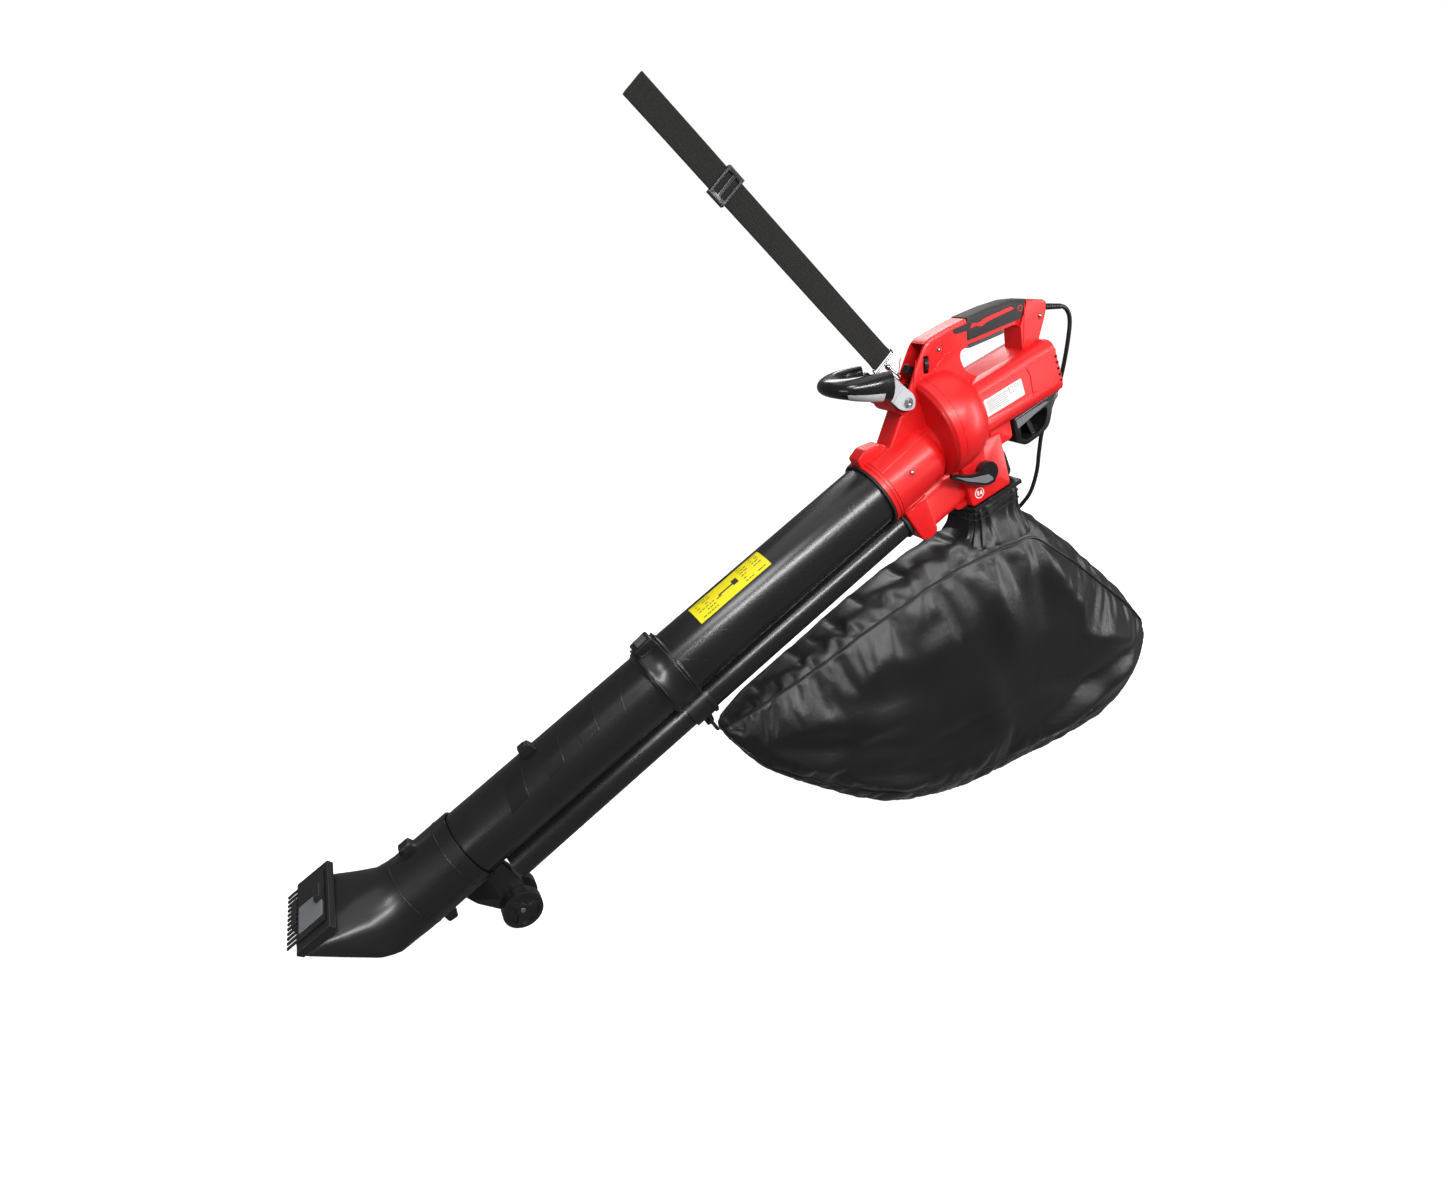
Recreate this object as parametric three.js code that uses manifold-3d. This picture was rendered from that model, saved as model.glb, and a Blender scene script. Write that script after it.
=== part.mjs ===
// Electric leaf blower and vacuum with a collection bag, a front handle, wheels and a shoulder strap.
// Millimetres, +Z up. The tool is drawn along its suction tube (x towards the motor, z away from
// the bag), then tilted into its working pose. The main grip's centre is the origin.
import * as THREE from 'three';
import { mergeVertices } from 'three/addons/utils/BufferGeometryUtils.js';
import Module from 'manifold-3d';

const wasm = await Module();
wasm.setup();

// ---- driving dimensions ----
const gap = 0.3;
const tubeSlope = 34.2;
const motorTilt = 10;
const gripCentre = [317, 0, 112];
const wall = 3;

const suctionRadius = 54;
const suctionWall = 2.4;
const lowerRadius = suctionRadius - 1;
const upperTubeLength = 440;
const lowerTubeLength = 372;
const socketTop = 16 - upperTubeLength;
const socketEnd = socketTop - 48;
const lowerEnd = socketTop - 31 - lowerTubeLength;
const collarRadius = suctionRadius + 4;
const blowerRadius = 25.5;
const blowerWall = 2;
const blowerDrop = suctionRadius + blowerRadius + 1.5;
const hookEye = -blowerDrop - 38;
const blowerUpperLength = 420;
const blowerLowerLength = 392;

const nozzleWidth = 152;
const nozzleNeck = lowerRadius + 4.5;

const wheelRadius = 31;
const wheelWidth = 17;
const wheelGap = 23;
const axleRadius = 4;
const wheelPlace = [lowerEnd - 13, -136];

const intakeRadius = 58;
const intakeNeck = 45;
const bodyHalfWidth = 21;
const gripHalfWidth = 18.5;
const fanCentre = [170, 22];
const voluteRadius = 90;
const voluteFront = -46;
const voluteBack = 46;
const motorHalfWidth = 50;
const motorHalfHeight = 48;
const motorDrop = 6;
const motorLength = 206;
const shaftRadius = 5;
const statorRadius = 36;
const fanRadius = 76;

const blockHalfWidth = 42;
const portLow = -157;
const selectorPlace = [19, -106];
const selectorShaftRadius = 5;

const speedPlace = [174, 128];
const speedRadius = 12;
const pivotPlace = [106, 107];
const pivotRadius = 4;
const pivotHalfWidth = 30;
const buttonPlace = [152, 133];
const eyePlace = [131.5, 128.5];
const eyeRadius = 4.5;

const triggerPlace = [265, 104.5];

const strapWidth = 39;
const strapThickness = 2.2;
const cordDiameter = 7.5;
const cordExit = [419, 65];
const reliefRadius = 5.2;
const reliefLength = 52;
const reliefFlange = 6.9;

const strapLength = 543;
const strapPlies = 2 * strapThickness + 0.2;
const strapSlope = 137.6;
const loopHeight = 9;
const loopReach = 48;
const sliderPlace = 413;

const bagHalfThickness = 85;
const labelPlace = [-361, -219];

// ---- looks ----
const looks = {
  red: { color: 0xd81414, roughness: 0.42, metalness: 0 },
  black: { color: 0x161617, roughness: 0.36, metalness: 0 },
  softBlack: { color: 0x1b1b1c, roughness: 0.72, metalness: 0 },
  grey: { color: 0xb9bcc0, roughness: 0.4, metalness: 0 },
  darkGrey: { color: 0x55585c, roughness: 0.5, metalness: 0 },
  steel: { color: 0xb8b8ba, roughness: 0.28, metalness: 1 },
  nickel: { color: 0xd8d4cc, roughness: 0.2, metalness: 1 },
  copper: { color: 0xb06a3a, roughness: 0.45, metalness: 1 },
  aluminium: { color: 0xb4b7ba, roughness: 0.42, metalness: 1 },
  fabric: { color: 0x18181a, roughness: 0.62, metalness: 0 },
  webbing: { color: 0x1d1c1b, roughness: 0.9, metalness: 0 },
  label: { color: 0xe9e9e6, roughness: 0.5, metalness: 0 },
  yellow: { color: 0xf2dd18, roughness: 0.5, metalness: 0 },
};

// ---- solids ----
function solid(geometry) {
  const plain = geometry.clone();
  for (const name of Object.keys(plain.attributes)) {
    if (name !== 'position') {
      plain.deleteAttribute(name);
    }
  }
  const merged = mergeVertices(plain, 1e-4);
  const index = merged.index.array;
  const position = merged.attributes.position;
  const triangles = [];
  let volume = 0;
  const a = new THREE.Vector3();
  const b = new THREE.Vector3();
  const c = new THREE.Vector3();
  for (let i = 0; i < index.length; i += 3) {
    const [p, q, r] = [index[i], index[i + 1], index[i + 2]];
    if (p !== q && q !== r && r !== p) {
      triangles.push(p, q, r);
      a.fromBufferAttribute(position, p);
      b.fromBufferAttribute(position, q);
      c.fromBufferAttribute(position, r);
      volume += a.dot(b.cross(c));
    }
  }
  if (volume < 0) {
    triangles.reverse();
  }
  return new wasm.Manifold(new wasm.Mesh({
    numProp: 3,
    vertProperties: new Float32Array(position.array),
    triVerts: new Uint32Array(triangles),
  }));
}

function union(...solids) {
  return solids.reduce((sum, next) => sum.add(next));
}

function turned(geometry, axis, degrees) {
  return geometry[`rotate${axis}`](THREE.MathUtils.degToRad(degrees));
}

// An outline of [x, z, corner radius] points; a corner without a radius stays sharp, and a round
// one is at least so wide that its bevel doesn't cross itself.
function outline(points, least = 0) {
  const shape = new THREE.Shape();
  const count = points.length;
  points.forEach(([x, z, wanted = 0], i) => {
    const corner = new THREE.Vector2(x, z);
    const before = new THREE.Vector2(...points[(i + count - 1) % count]).sub(corner);
    const after = new THREE.Vector2(...points[(i + 1) % count]).sub(corner);
    const wide = wanted > 0 ? Math.max(wanted, least) : 0;
    const radius = Math.min(wide, 0.45 * before.length(), 0.45 * after.length());
    const start = corner.clone().add(before.setLength(radius));
    const end = corner.clone().add(after.setLength(radius));
    if (i === 0) {
      shape.moveTo(start.x, start.y);
    } else {
      shape.lineTo(start.x, start.y);
    }
    if (radius > 0) {
      shape.quadraticCurveTo(x, z, end.x, end.y);
    }
  });
  shape.closePath();
  return shape;
}

// A plate: the outline in x and z, standing from low to high along y, its edges rounded by bevel.
function plate(points, low, high, bevel = 0) {
  const geometry = new THREE.ExtrudeGeometry(outline(points, 2 * bevel), {
    depth: high - low - 2 * bevel,
    curveSegments: 5,
    bevelEnabled: bevel > 0,
    bevelThickness: bevel,
    bevelSize: bevel,
    bevelOffset: -bevel,
    bevelSegments: 2,
  });
  return solid(turned(geometry, 'X', 90).translate(0, high - bevel, 0));
}

// A block from low to high along x, its y and z outline rounded.
function bar(width, height, low, high, radius, centreZ = 0, centreY = 0) {
  const w = width / 2;
  const h = height / 2;
  const shape = outline([[-w, -h, radius], [w, -h, radius], [w, h, radius], [-w, h, radius]]);
  const geometry = new THREE.ExtrudeGeometry(shape, {
    depth: high - low, curveSegments: 4, bevelEnabled: false,
  });
  turned(turned(geometry, 'X', 90), 'Z', 90);
  return solid(geometry.translate(low, centreY, centreZ));
}

function box(x, y, z) {
  const geometry = new THREE.BoxGeometry(x[1] - x[0], y[1] - y[0], z[1] - z[0]);
  return solid(geometry.translate((x[0] + x[1]) / 2, (y[0] + y[1]) / 2, (z[0] + z[1]) / 2));
}

// A round of [place along x, radius] points, closed, about the x axis at height z.
function round(profile, z = 0, sides = 48) {
  const points = profile.map(([x, radius]) => new THREE.Vector2(radius, x));
  points.push(points[0].clone());
  return solid(turned(new THREE.LatheGeometry(points, sides), 'Z', -90).translate(0, 0, z));
}

function drum(low, high, radius, z = 0, sides = 48) {
  return round([[low, 0], [low, radius], [high, radius], [high, 0]], z, sides);
}

function ring(low, high, outer, inner, z = 0, sides = 48) {
  return round([[low, inner], [low, outer], [high, outer], [high, inner]], z, sides);
}

// A pin along y at [x, z].
function pin(place, low, high, radius, sides = 24) {
  const geometry = new THREE.CylinderGeometry(radius, radius, high - low, sides);
  return solid(geometry.translate(place[0], (low + high) / 2, place[1]));
}

// A tube of one thickness along a smooth line through the points.
function pipe(points, diameter, steps, sides = 10) {
  const curve = new THREE.CatmullRomCurve3(points.map((p) => new THREE.Vector3(...p)));
  const section = new THREE.Shape();
  section.absarc(0, 0, diameter / 2, 0, Math.PI * 2, false);
  return solid(new THREE.ExtrudeGeometry(section, {
    steps, extrudePath: curve, curveSegments: sides,
  }));
}

// Skins stacked into a closed solid: every section is a list of points, all of one count.
function loft(sections) {
  const count = sections[0].length;
  const positions = sections.flat().flat();
  const index = [];
  for (let s = 0; s < sections.length - 1; s += 1) {
    for (let i = 0; i < count; i += 1) {
      const j = (i + 1) % count;
      const [a, b, c, d] = [s * count + i, s * count + j, (s + 1) * count + j, (s + 1) * count + i];
      index.push(a, b, c, a, c, d);
    }
  }
  const last = (sections.length - 1) * count;
  for (let i = 1; i < count - 1; i += 1) {
    index.push(0, i + 1, i);
    index.push(last, last + i, last + i + 1);
  }
  const geometry = new THREE.BufferGeometry();
  geometry.setAttribute('position', new THREE.Float32BufferAttribute(positions, 3));
  geometry.setIndex(index);
  return solid(geometry);
}

// ---- frames ----
const motorMatrix = new THREE.Matrix4()
  .makeTranslation(fanCentre[0], 0, fanCentre[1])
  .multiply(new THREE.Matrix4().makeRotationY(THREE.MathUtils.degToRad(motorTilt)));

function fromMotor(part) {
  return part.transform(motorMatrix.elements);
}

const model = new THREE.Group();
const tool = new THREE.Group();
const motorUnit = new THREE.Group();
tool.rotation.y = THREE.MathUtils.degToRad(-tubeSlope);
const gripOffset = new THREE.Vector3(...gripCentre).negate();
tool.position.copy(gripOffset.applyEuler(tool.rotation));
motorUnit.position.set(fanCentre[0], 0, fanCentre[1]);
motorUnit.rotation.y = THREE.MathUtils.degToRad(motorTilt);
tool.add(motorUnit);
model.add(tool);

function add(name, part, look, group = tool) {
  const mesh = part.getMesh();
  const geometry = new THREE.BufferGeometry();
  geometry.setAttribute('position', new THREE.Float32BufferAttribute(mesh.vertProperties, 3));
  geometry.setIndex(Array.from(mesh.triVerts));
  geometry.computeVertexNormals();
  const piece = new THREE.Mesh(geometry, new THREE.MeshStandardMaterial(looks[look]));
  piece.name = name;
  group.add(piece);
  return piece;
}

// ---- housing ----
const fingerHole = [
  [233, 96, 10], [240, 107, 8], [262, 103, 10], [362, 74, 12], [344, 30, 6], [250, 46, 12], [232, 72, 14],
];
const bodyEdge = [
  [30, 40], [54, 58, 8], [92, 86, 12], [128, 113, 12], [158, 137, 14], [191, 160, 14],
  [238, 153, 20], [285, 142, 20], [324, 130, 20], [364, 115, 18], [398, 95, 18], [428, 74, 6],
  [414, 54, 6], [376, 18, 14], [362, -14], [250, 10], [214, 46], [190, 20], [110, 20],
];
const gripTop = [[274, 144.5], [324, 130], [364, 115], [391, 99]];

// The soft grip's zone on the handle, drawn in by inset along its ends and longer by reach.
function gripZone(inset, reach = 0) {
  const front = new THREE.Vector2(0.44, 0.9);
  const back = new THREE.Vector2(0.72, 0.69);
  const corner = (x, z, line, side, depth) => [
    x + side * reach * line.y - depth * line.x, z - side * reach * line.x - depth * line.y,
  ];
  const middle = gripTop.slice(1, -1).map(([x, z]) => [x - 0.3 * inset, z - 0.95 * inset]);
  return [
    corner(...gripTop[0], front, -1, inset), ...middle, corner(...gripTop[3], back, 1, inset),
    corner(361, 70, back, 1, -inset), [262, 101 + 0.95 * inset], corner(252, 100, front, -1, -inset),
  ];
}

function housingOuter() {
  const collar = round([
    [-6, 0], [-6, intakeRadius + 2], [8, intakeRadius + 2], [10, intakeRadius], [96, intakeRadius - 2],
    [108, intakeRadius - 5], [116, intakeNeck + 2], [132, intakeNeck], [132, 0],
  ], 0, 40);
  const lug = plate([[-6, 50], [-5, 72, 3], [16, 78, 5], [44, 68, 3], [52, 50]], -14, 14, 2);
  const body = plate(bodyEdge, -bodyHalfWidth, bodyHalfWidth, 5)
    .subtract(plate(fingerHole, -bodyHalfWidth - 1, bodyHalfWidth + 1));
  const boss = pin(pivotPlace, -pivotHalfWidth, pivotHalfWidth, 19, 32);
  const volute = fromMotor(round([
    [voluteFront, 0], [voluteFront, voluteRadius - 8], [voluteFront + 6, voluteRadius - 2],
    [voluteFront + 18, voluteRadius], [-8, voluteRadius], [14, voluteRadius - 5], [30, voluteRadius - 14],
    [40, voluteRadius - 26], [voluteBack, 54], [voluteBack, 0],
  ], 0, 44));
  const motor = fromMotor(bar(
    2 * motorHalfWidth, 2 * motorHalfHeight, 20, motorLength, 22, -motorDrop,
  ));
  const block = fromMotor(plate([
    [-22, portLow + 1, 5], [64, portLow + 1, 5], [70, -60], [-22, -50],
  ], -blockHalfWidth, blockHalfWidth, 4));
  const web = fromMotor(plate([[50, -30], [50, -86, 6], [96, -84, 6], [101, -30]], -38, 38, 4));
  const foot = fromMotor(plate([
    [-16, -116], [-44, -122, 4], [-52, -138, 4], [-42, -154, 4], [-16, portLow + 1],
  ], -28, 28, 3));
  const duct = bar(2 * blowerRadius + 14, 70, 24, 150, 16, -blowerDrop);
  const flange = plate([
    [14, -blowerDrop + 30], [18, -blowerDrop - 36, 4], [34, -blowerDrop - 44, 4],
    [52, -blowerDrop - 40, 4], [62, -blowerDrop + 30],
  ], -blowerRadius - 8, blowerRadius + 8, 4);
  const [ex, ez] = eyePlace;
  const eye = pin(eyePlace, -3, 3, 8, 16).add(plate([
    [ex - 7, ez - 3], [ex + 1, ez + 7], [ex + 16, ez - 4], [ex + 6, ez - 16],
  ], -3, 3));
  return union(collar, lug, body, boss, volute, motor, block, web, foot, duct, flange, eye);
}

function housingInner() {
  const collar = round([
    [-7, 0], [-7, suctionRadius + gap], [30, suctionRadius + gap], [30, suctionRadius - 3],
    [88, intakeRadius - 7], [104, intakeNeck - 2], [140, intakeNeck - 5], [140, 0],
  ], 0, 40);
  const volute = fromMotor(round([
    [voluteFront + wall, 0], [voluteFront + wall, voluteRadius - 11],
    [voluteFront + 18, voluteRadius - wall - 2], [-8, voluteRadius - wall - 2],
    [16, voluteRadius - 12], [30, voluteRadius - 22], [38, 44], [38, 0],
  ], 0, 40));
  const motor = fromMotor(bar(
    2 * (motorHalfWidth - wall), 2 * (motorHalfHeight - wall), 42, motorLength + 5, 20, -motorDrop,
  ));
  const port = fromMotor(plate([
    [-17, portLow - 5], [59, portLow - 5], [60, -70], [-17, -60],
  ], -blockHalfWidth + 5, blockHalfWidth - 5));
  const duct = union(
    drum(-10, 52, blowerRadius + gap, -blowerDrop, 36),
    drum(-10, 13.9, blowerRadius + 4 + gap, -blowerDrop, 36),
    drum(50, 160, blowerRadius - 3, -blowerDrop, 36),
  );
  const pinHole = pin(triggerPlace, -12, 12, 2.3, 16);
  const rear = fromMotor(bar(
    2 * motorHalfWidth, 2 * motorHalfHeight, motorLength, motorLength + 14, 20, -motorDrop,
  ));
  const strut = plate([
    [96, 62], [138, 62], [196, 100, 8], [214, 118, 8], [222, 150, 8], [188, 158, 8],
    [152, 137, 6], [128, 118, 6], [126, 84],
  ], -bodyHalfWidth + wall + 1, bodyHalfWidth - wall - 1);
  const grip = plate([
    [216, 134], [216, 118], [262, 108], [352, 84, 6], [384, 74, 6], [372, 100, 6], [322, 120], [262, 136],
  ], -gripHalfWidth + 7, gripHalfWidth - 7);
  const slot = plate([[258, 112], [252, 92], [340, 64], [346, 90]], -8, 8);
  const cordWay = drum(-40, 20, reliefRadius + gap, 0, 24).add(drum(0.3, 20, reliefFlange + gap, 0, 24))
    .rotate([0, tubeSlope, 0]).translate([cordExit[0], 0, cordExit[1]]);
  const eyeHole = pin(eyePlace, -9, 9, eyeRadius, 20);
  const shaftHole = fromMotor(pin(selectorPlace, -60, 60, selectorShaftRadius + gap, 24));
  const boltHole = pin(pivotPlace, -60, 60, pivotRadius + gap, 24);
  const shaftWay = fromMotor(drum(30, 50, 16));
  const wheelSlot = speedSlot(14, 5, -30, 2);
  const buttonHole = plate(buttonBlock(7.5, 10, 12), -7, 7);
  const gripSeat = plate(gripZone(-8), -40, 40)
    .subtract(plate(gripZone(wall, 9), -gripHalfWidth + wall, gripHalfWidth - wall));
  return union(collar, volute, motor, port, duct, strut, grip, slot, cordWay, eyeHole, shaftHole,
    boltHole, shaftWay, wheelSlot, buttonHole, gripSeat, pinHole, rear);
}

// The front button's block, square to the front strut's edge.
function buttonBlock(halfLength, outward, inward) {
  const [x, z] = buttonPlace;
  const corner = (along, out) => [x + 0.8 * along - 0.6 * out, z + 0.6 * along + 0.8 * out];
  return [
    corner(-halfLength, outward), corner(halfLength, outward),
    corner(halfLength, -inward), corner(-halfLength, -inward),
  ];
}

// The speed wheel's slot in the near side, its length along the front strut.
function speedSlot(halfLength, halfWidth, low, high) {
  const along = new THREE.Vector2(0.49, 0.87).multiplyScalar(halfLength);
  const across = new THREE.Vector2(0.87, -0.49).multiplyScalar(halfWidth);
  const corners = [[1, 1], [1, -1], [-1, -1], [-1, 1]].map(([a, b]) => [
    speedPlace[0] + a * along.x + b * across.x, speedPlace[1] + a * along.y + b * across.y,
  ]);
  return plate(corners, low, high);
}

const housing = housingOuter().subtract(housingInner());

function half(part, side) {
  const far = 400;
  const span = side > 0 ? [gap / 2, far] : [-far, -gap / 2];
  const halves = part.intersect(box([-far, 2 * far], span, [-far, far])).decompose();
  return halves.reduce((largest, next) => (next.volume() > largest.volume() ? next : largest));
}

function addHousing() {
  add('housing_right', half(housing, -1), 'red');
  add('housing_left', half(housing, 1), 'red');
}

// ---- motor and fan, inside the housing ----
function addMotor() {
  const hub = ring(-38, -8, 14, shaftRadius + gap, 0, 24);
  const disc = ring(-14, -11, fanRadius, 8, 0, 40);
  const blade = box([-36, -12], [-1.2, 1.2], [10, fanRadius - 3]);
  const blades = Array.from({ length: 8 }, (_, i) => blade.rotate([45 * i, 0, 0]));
  add('impeller', union(hub, disc, ...blades), 'black', motorUnit);
  const nut = drum(-46.5, -38.3, 9, 0, 6).subtract(drum(-50, -36, shaftRadius + gap, 0, 20));
  add('fan_nut', nut, 'steel', motorUnit);
  add('rotor', union(
    drum(-50, 184, shaftRadius, 0, 20), drum(84, 144, statorRadius - 12, 0, 32), drum(153, 169, 14, 0, 24),
  ), 'copper', motorUnit);
  add('motor_stator', ring(80, 148, statorRadius, statorRadius - 11, 0, 32), 'steel', motorUnit);
  const inside = [2 * (motorHalfWidth - wall - gap), 2 * (motorHalfHeight - wall - gap)];
  const plateHole = drum(40, 70, 13 + gap, 0, 24);
  const frontPlate = bar(...inside, 52, 58, 19.5, -motorDrop).subtract(plateHole);
  add('front_motor_plate', frontPlate, 'aluminium', motorUnit);
  add('front_bearing', ring(51, 59, 13, shaftRadius + gap, 0, 24), 'steel', motorUnit);
  const rearHole = drum(170, 190, 13 + gap, 0, 24);
  const rearPlate = bar(...inside, motorLength - 30, motorLength - 24, 19.5, -motorDrop).subtract(rearHole);
  add('rear_motor_plate', rearPlate, 'aluminium', motorUnit);
  add('rear_bearing', ring(175.5, 182.5, 13, shaftRadius + gap, 0, 24), 'steel', motorUnit);
  for (const [side, name] of [[-1, 'right'], [1, 'left']]) {
    const holder = box([154, 168], side < 0 ? [-34, -14.6] : [14.6, 34], [-6, 6]);
    add(`brush_holder_${name}`, holder, 'darkGrey', motorUnit);
  }
}

// ---- rear of the housing ----
function addRear() {
  const cap = bar(2 * motorHalfWidth - 2, 2 * motorHalfHeight - 2, motorLength + gap, motorLength + 6, 20,
    -motorDrop);
  const fins = Array.from({ length: 5 }, (_, i) => box(
    [motorLength + 5, motorLength + 10], [10 - motorHalfWidth, motorHalfWidth - 10],
    [12 * i - 30, 12 * i - 25],
  ));
  const slots = Array.from({ length: 4 }, (_, i) => box(
    [motorLength - 1, motorLength + 8], [-30, 30], [12 * i - 24, 12 * i - 19],
  ));
  const rear = union(cap, ...fins).subtract(union(...slots));
  add('rear_vent_cap', rear, 'red', motorUnit);
  const bracket = plate([
    [106, -56, 6], [206, -52, 4], [208, -62, 4], [192, -70, 8], [187, -82, 8], [174, -104, 10],
    [152, -110, 8], [118, -112, 8], [102, -98, 6],
  ], -36, 36, 1.5);
  const opening = plate([
    [116, -70, 5], [178, -67, 5], [176, -80, 5], [166, -96, 6], [150, -102, 5], [120, -103, 5],
    [112, -94, 5],
  ], -40, 40);
  const spoke = plate([[132, -66], [140, -66], [148, -106], [140, -106]], -30, 30);
  const below = bar(2 * motorHalfWidth + 2 * gap, 2 * motorHalfHeight + 2 * gap, 90, 230, 22, -motorDrop);
  add('rear_bracket', bracket.subtract(opening).add(spoke).subtract(below), 'black', motorUnit);
  const plateSide = -motorHalfWidth - gap;
  add('nameplate', plate([[48, 12, 2], [130, 12, 2], [130, -18, 2], [48, -18, 2]],
    plateSide - 0.8, plateSide), 'label', motorUnit);
}

// ---- handle ----
function addHandle() {
  const zone = plate(gripZone(-1.5, -2 * gap), -bodyHalfWidth - 0.5, bodyHalfWidth + 0.5, 5);
  const core = plate(gripZone(wall - gap, 9), -gripHalfWidth + wall - gap, gripHalfWidth - wall + gap);
  const under = plate([[230, 121], [262, 112], [368, 80], [372, 40], [230, 40]], -40, 40);
  const grip = zone.subtract(core).subtract(under);
  add('grip_overmould', grip, 'softBlack');
  const lever = plate([
    [260.5, 109, 3], [259, 97, 4], [266, 92, 4], [335, 71.5, 3], [340, 76, 3], [337, 87, 3],
  ], -7.4, 7.4, 1.2);
  const pinHole = pin(triggerPlace, -12, 12, 2.3, 16);
  add('trigger', lever.subtract(pinHole), 'darkGrey');
  add('trigger_pin', pin(triggerPlace, -11, 11, 2, 16), 'steel');
  add('switch_body', plate([[272, 118], [272, 127], [318, 116], [318, 106]], -8, 8), 'black');
  const wheel = pin([0, 0], -3.6, 3.6, speedRadius, 28);
  const angle = Math.atan2(0.87, 0.49) * 180 / Math.PI;
  const turnedWheel = wheel.rotate([0, 0, 90]).rotate([0, 90 - angle, 0]);
  add('speed_wheel', turnedWheel.translate([speedPlace[0], -13, speedPlace[1]]), 'black');
  add('front_button', plate(buttonBlock(7, 3.5, 8), -6.5, 6.5), 'black');
}

// ---- tubes ----
function addTubes() {
  const top = -upperTubeLength;
  const blowerWay = drum(-600, 60, blowerRadius + gap, -blowerDrop, 36);
  add('tube_seal', ring(-10, -6 - gap, intakeRadius + 1, suctionRadius + gap).subtract(blowerWay), 'black');
  add('suction_tube_upper', ring(28, top, suctionRadius, suctionRadius - suctionWall, 0, 48), 'black');
  const socket = suctionRadius + gap;
  const guideTop = lowerRadius + 13;
  const guide = plate([
    [lowerEnd + 137, guideTop - 15], [lowerEnd + 141, guideTop, 3], [lowerEnd + 159, guideTop, 3],
    [lowerEnd + 163, guideTop - 15],
  ], -8, 8).subtract(drum(lowerEnd + 127, lowerEnd + 177, lowerRadius - 1, 0, 56));
  const lower = round([
    [socketTop, socket], [socketTop, socket + 3], [socketEnd, socket + 3], [socketEnd - 5, lowerRadius],
    [lowerEnd, lowerRadius], [lowerEnd, lowerRadius - suctionWall], [top - 8, lowerRadius - suctionWall],
    [top - 3, socket],
  ], 0, 48);
  add('suction_tube_lower', lower.add(guide).subtract(blowerWay), 'black');
  const band = round([
    [socketTop - 4, socket + 3 + gap], [socketTop - 4, collarRadius + 3],
    [socketTop - 10, collarRadius + 3], [socketTop - 13, collarRadius + 1.4],
    [socketTop - 35, collarRadius + 1.4], [socketTop - 38, collarRadius + 3],
    [socketEnd + 4, collarRadius + 3], [socketEnd + 4, socket + 3 + gap],
  ], 0, 40);
  const latchTop = collarRadius + 12;
  const latchBox = plate([
    [socketTop - 40, latchTop - 20], [socketTop - 42, latchTop, 4], [socketTop - 8, latchTop + 3, 4],
    [socketTop - 6, latchTop - 20],
  ], -15, 15, 1.5);
  const bore = drum(socketEnd - 8, socketTop + 4, socket + 3 + gap, 0, 40);
  const buttonWell = box([socketTop - 34, socketTop - 14], [-8.3, 8.3], [latchTop - 8, latchTop + 10]);
  const collar = band.add(latchBox).subtract(bore).subtract(buttonWell).subtract(blowerWay);
  add('tube_collar', collar, 'black');
  add('tube_latch_button', box([socketTop - 33.5, socketTop - 14.5], [-7.8, 7.8],
    [latchTop - 3.5, latchTop + 5]), 'darkGrey');

  const low = -blowerDrop;
  const split = 52 - blowerUpperLength - 72;
  const mid = blowerRadius + gap;
  const suctionWay = drum(0, 20, suctionRadius + gap);
  add('blower_seal', ring(9, 13.6, blowerRadius + 4, mid, low, 36).subtract(suctionWay), 'black');
  add('blower_tube_upper', ring(48, split, blowerRadius, blowerRadius - blowerWall, low, 36), 'black');
  add('blower_tube_lower', ring(split - gap, split - blowerLowerLength + 26, blowerRadius,
    blowerRadius - blowerWall, low, 36), 'black');
  const sleeve = ring(split - 22, split + 22, mid + 3.5, mid, low, 36);
  const rim = ring(split + 14, split + 20, mid + 6, mid, low, 36);
  const lugTop = low - blowerRadius - 1.5;
  const lug = plate([
    [split - 8, lugTop], [split + 8, lugTop], [split + 4, hookEye - 8, 3],
    [split - 10, hookEye - 8, 3],
  ], -4, 4);
  const eye = pin([split - 2, hookEye], -9, 9, 4, 16);
  const clearOfTube = drum(split - 40, split + 40, collarRadius + 3 + gap, 0, 56);
  const coupling = union(sleeve, rim, lug).subtract(eye).subtract(clearOfTube);
  add('blower_coupling', coupling, 'black');
}

// ---- nozzle ----
const nozzleStart = lowerEnd - gap;

// Sections from the round neck to the wide mouth: centre, half width, half height, lean, squareness.
const nozzleSections = [
  [nozzleStart, 0, nozzleNeck, nozzleNeck, 0, 2],
  [nozzleStart - 98, 0, nozzleNeck, nozzleNeck, 0, 2],
  [nozzleStart - 119, 3, nozzleNeck + 2, nozzleNeck, 4, 2.2],
  [nozzleStart - 141, 13, nozzleNeck + 9, nozzleNeck + 0.5, 8, 2.8],
  [nozzleStart - 163, 26, nozzleWidth / 2 - 2, nozzleNeck + 2.5, 18, 4.5],
  [nozzleStart - 177, 34, nozzleWidth / 2, nozzleNeck + 3.5, 27, 7],
  [nozzleStart - 192, 40, nozzleWidth / 2, nozzleNeck + 3.5, 34, 10],
];

function nozzleSkin(inset, stretch) {
  const count = 32;
  const sections = nozzleSections.map(([x, z, halfWidth, halfHeight, lean, square], s) => {
    const angle = THREE.MathUtils.degToRad(lean);
    const last = s === nozzleSections.length - 1;
    const shift = s === 0 ? stretch : (last ? -stretch : 0);
    return Array.from({ length: count }, (_, i) => {
      const turn = 2 * Math.PI * i / count;
      const power = 2 / square;
      const across = Math.sign(Math.cos(turn)) * Math.abs(Math.cos(turn)) ** power * (halfWidth - inset);
      const up = Math.sign(Math.sin(turn)) * Math.abs(Math.sin(turn)) ** power * (halfHeight - inset);
      return [
        x - up * Math.sin(angle) + shift * Math.cos(angle), across,
        z + up * Math.cos(angle) + shift * Math.sin(angle),
      ];
    });
  });
  return loft(sections);
}

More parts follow.
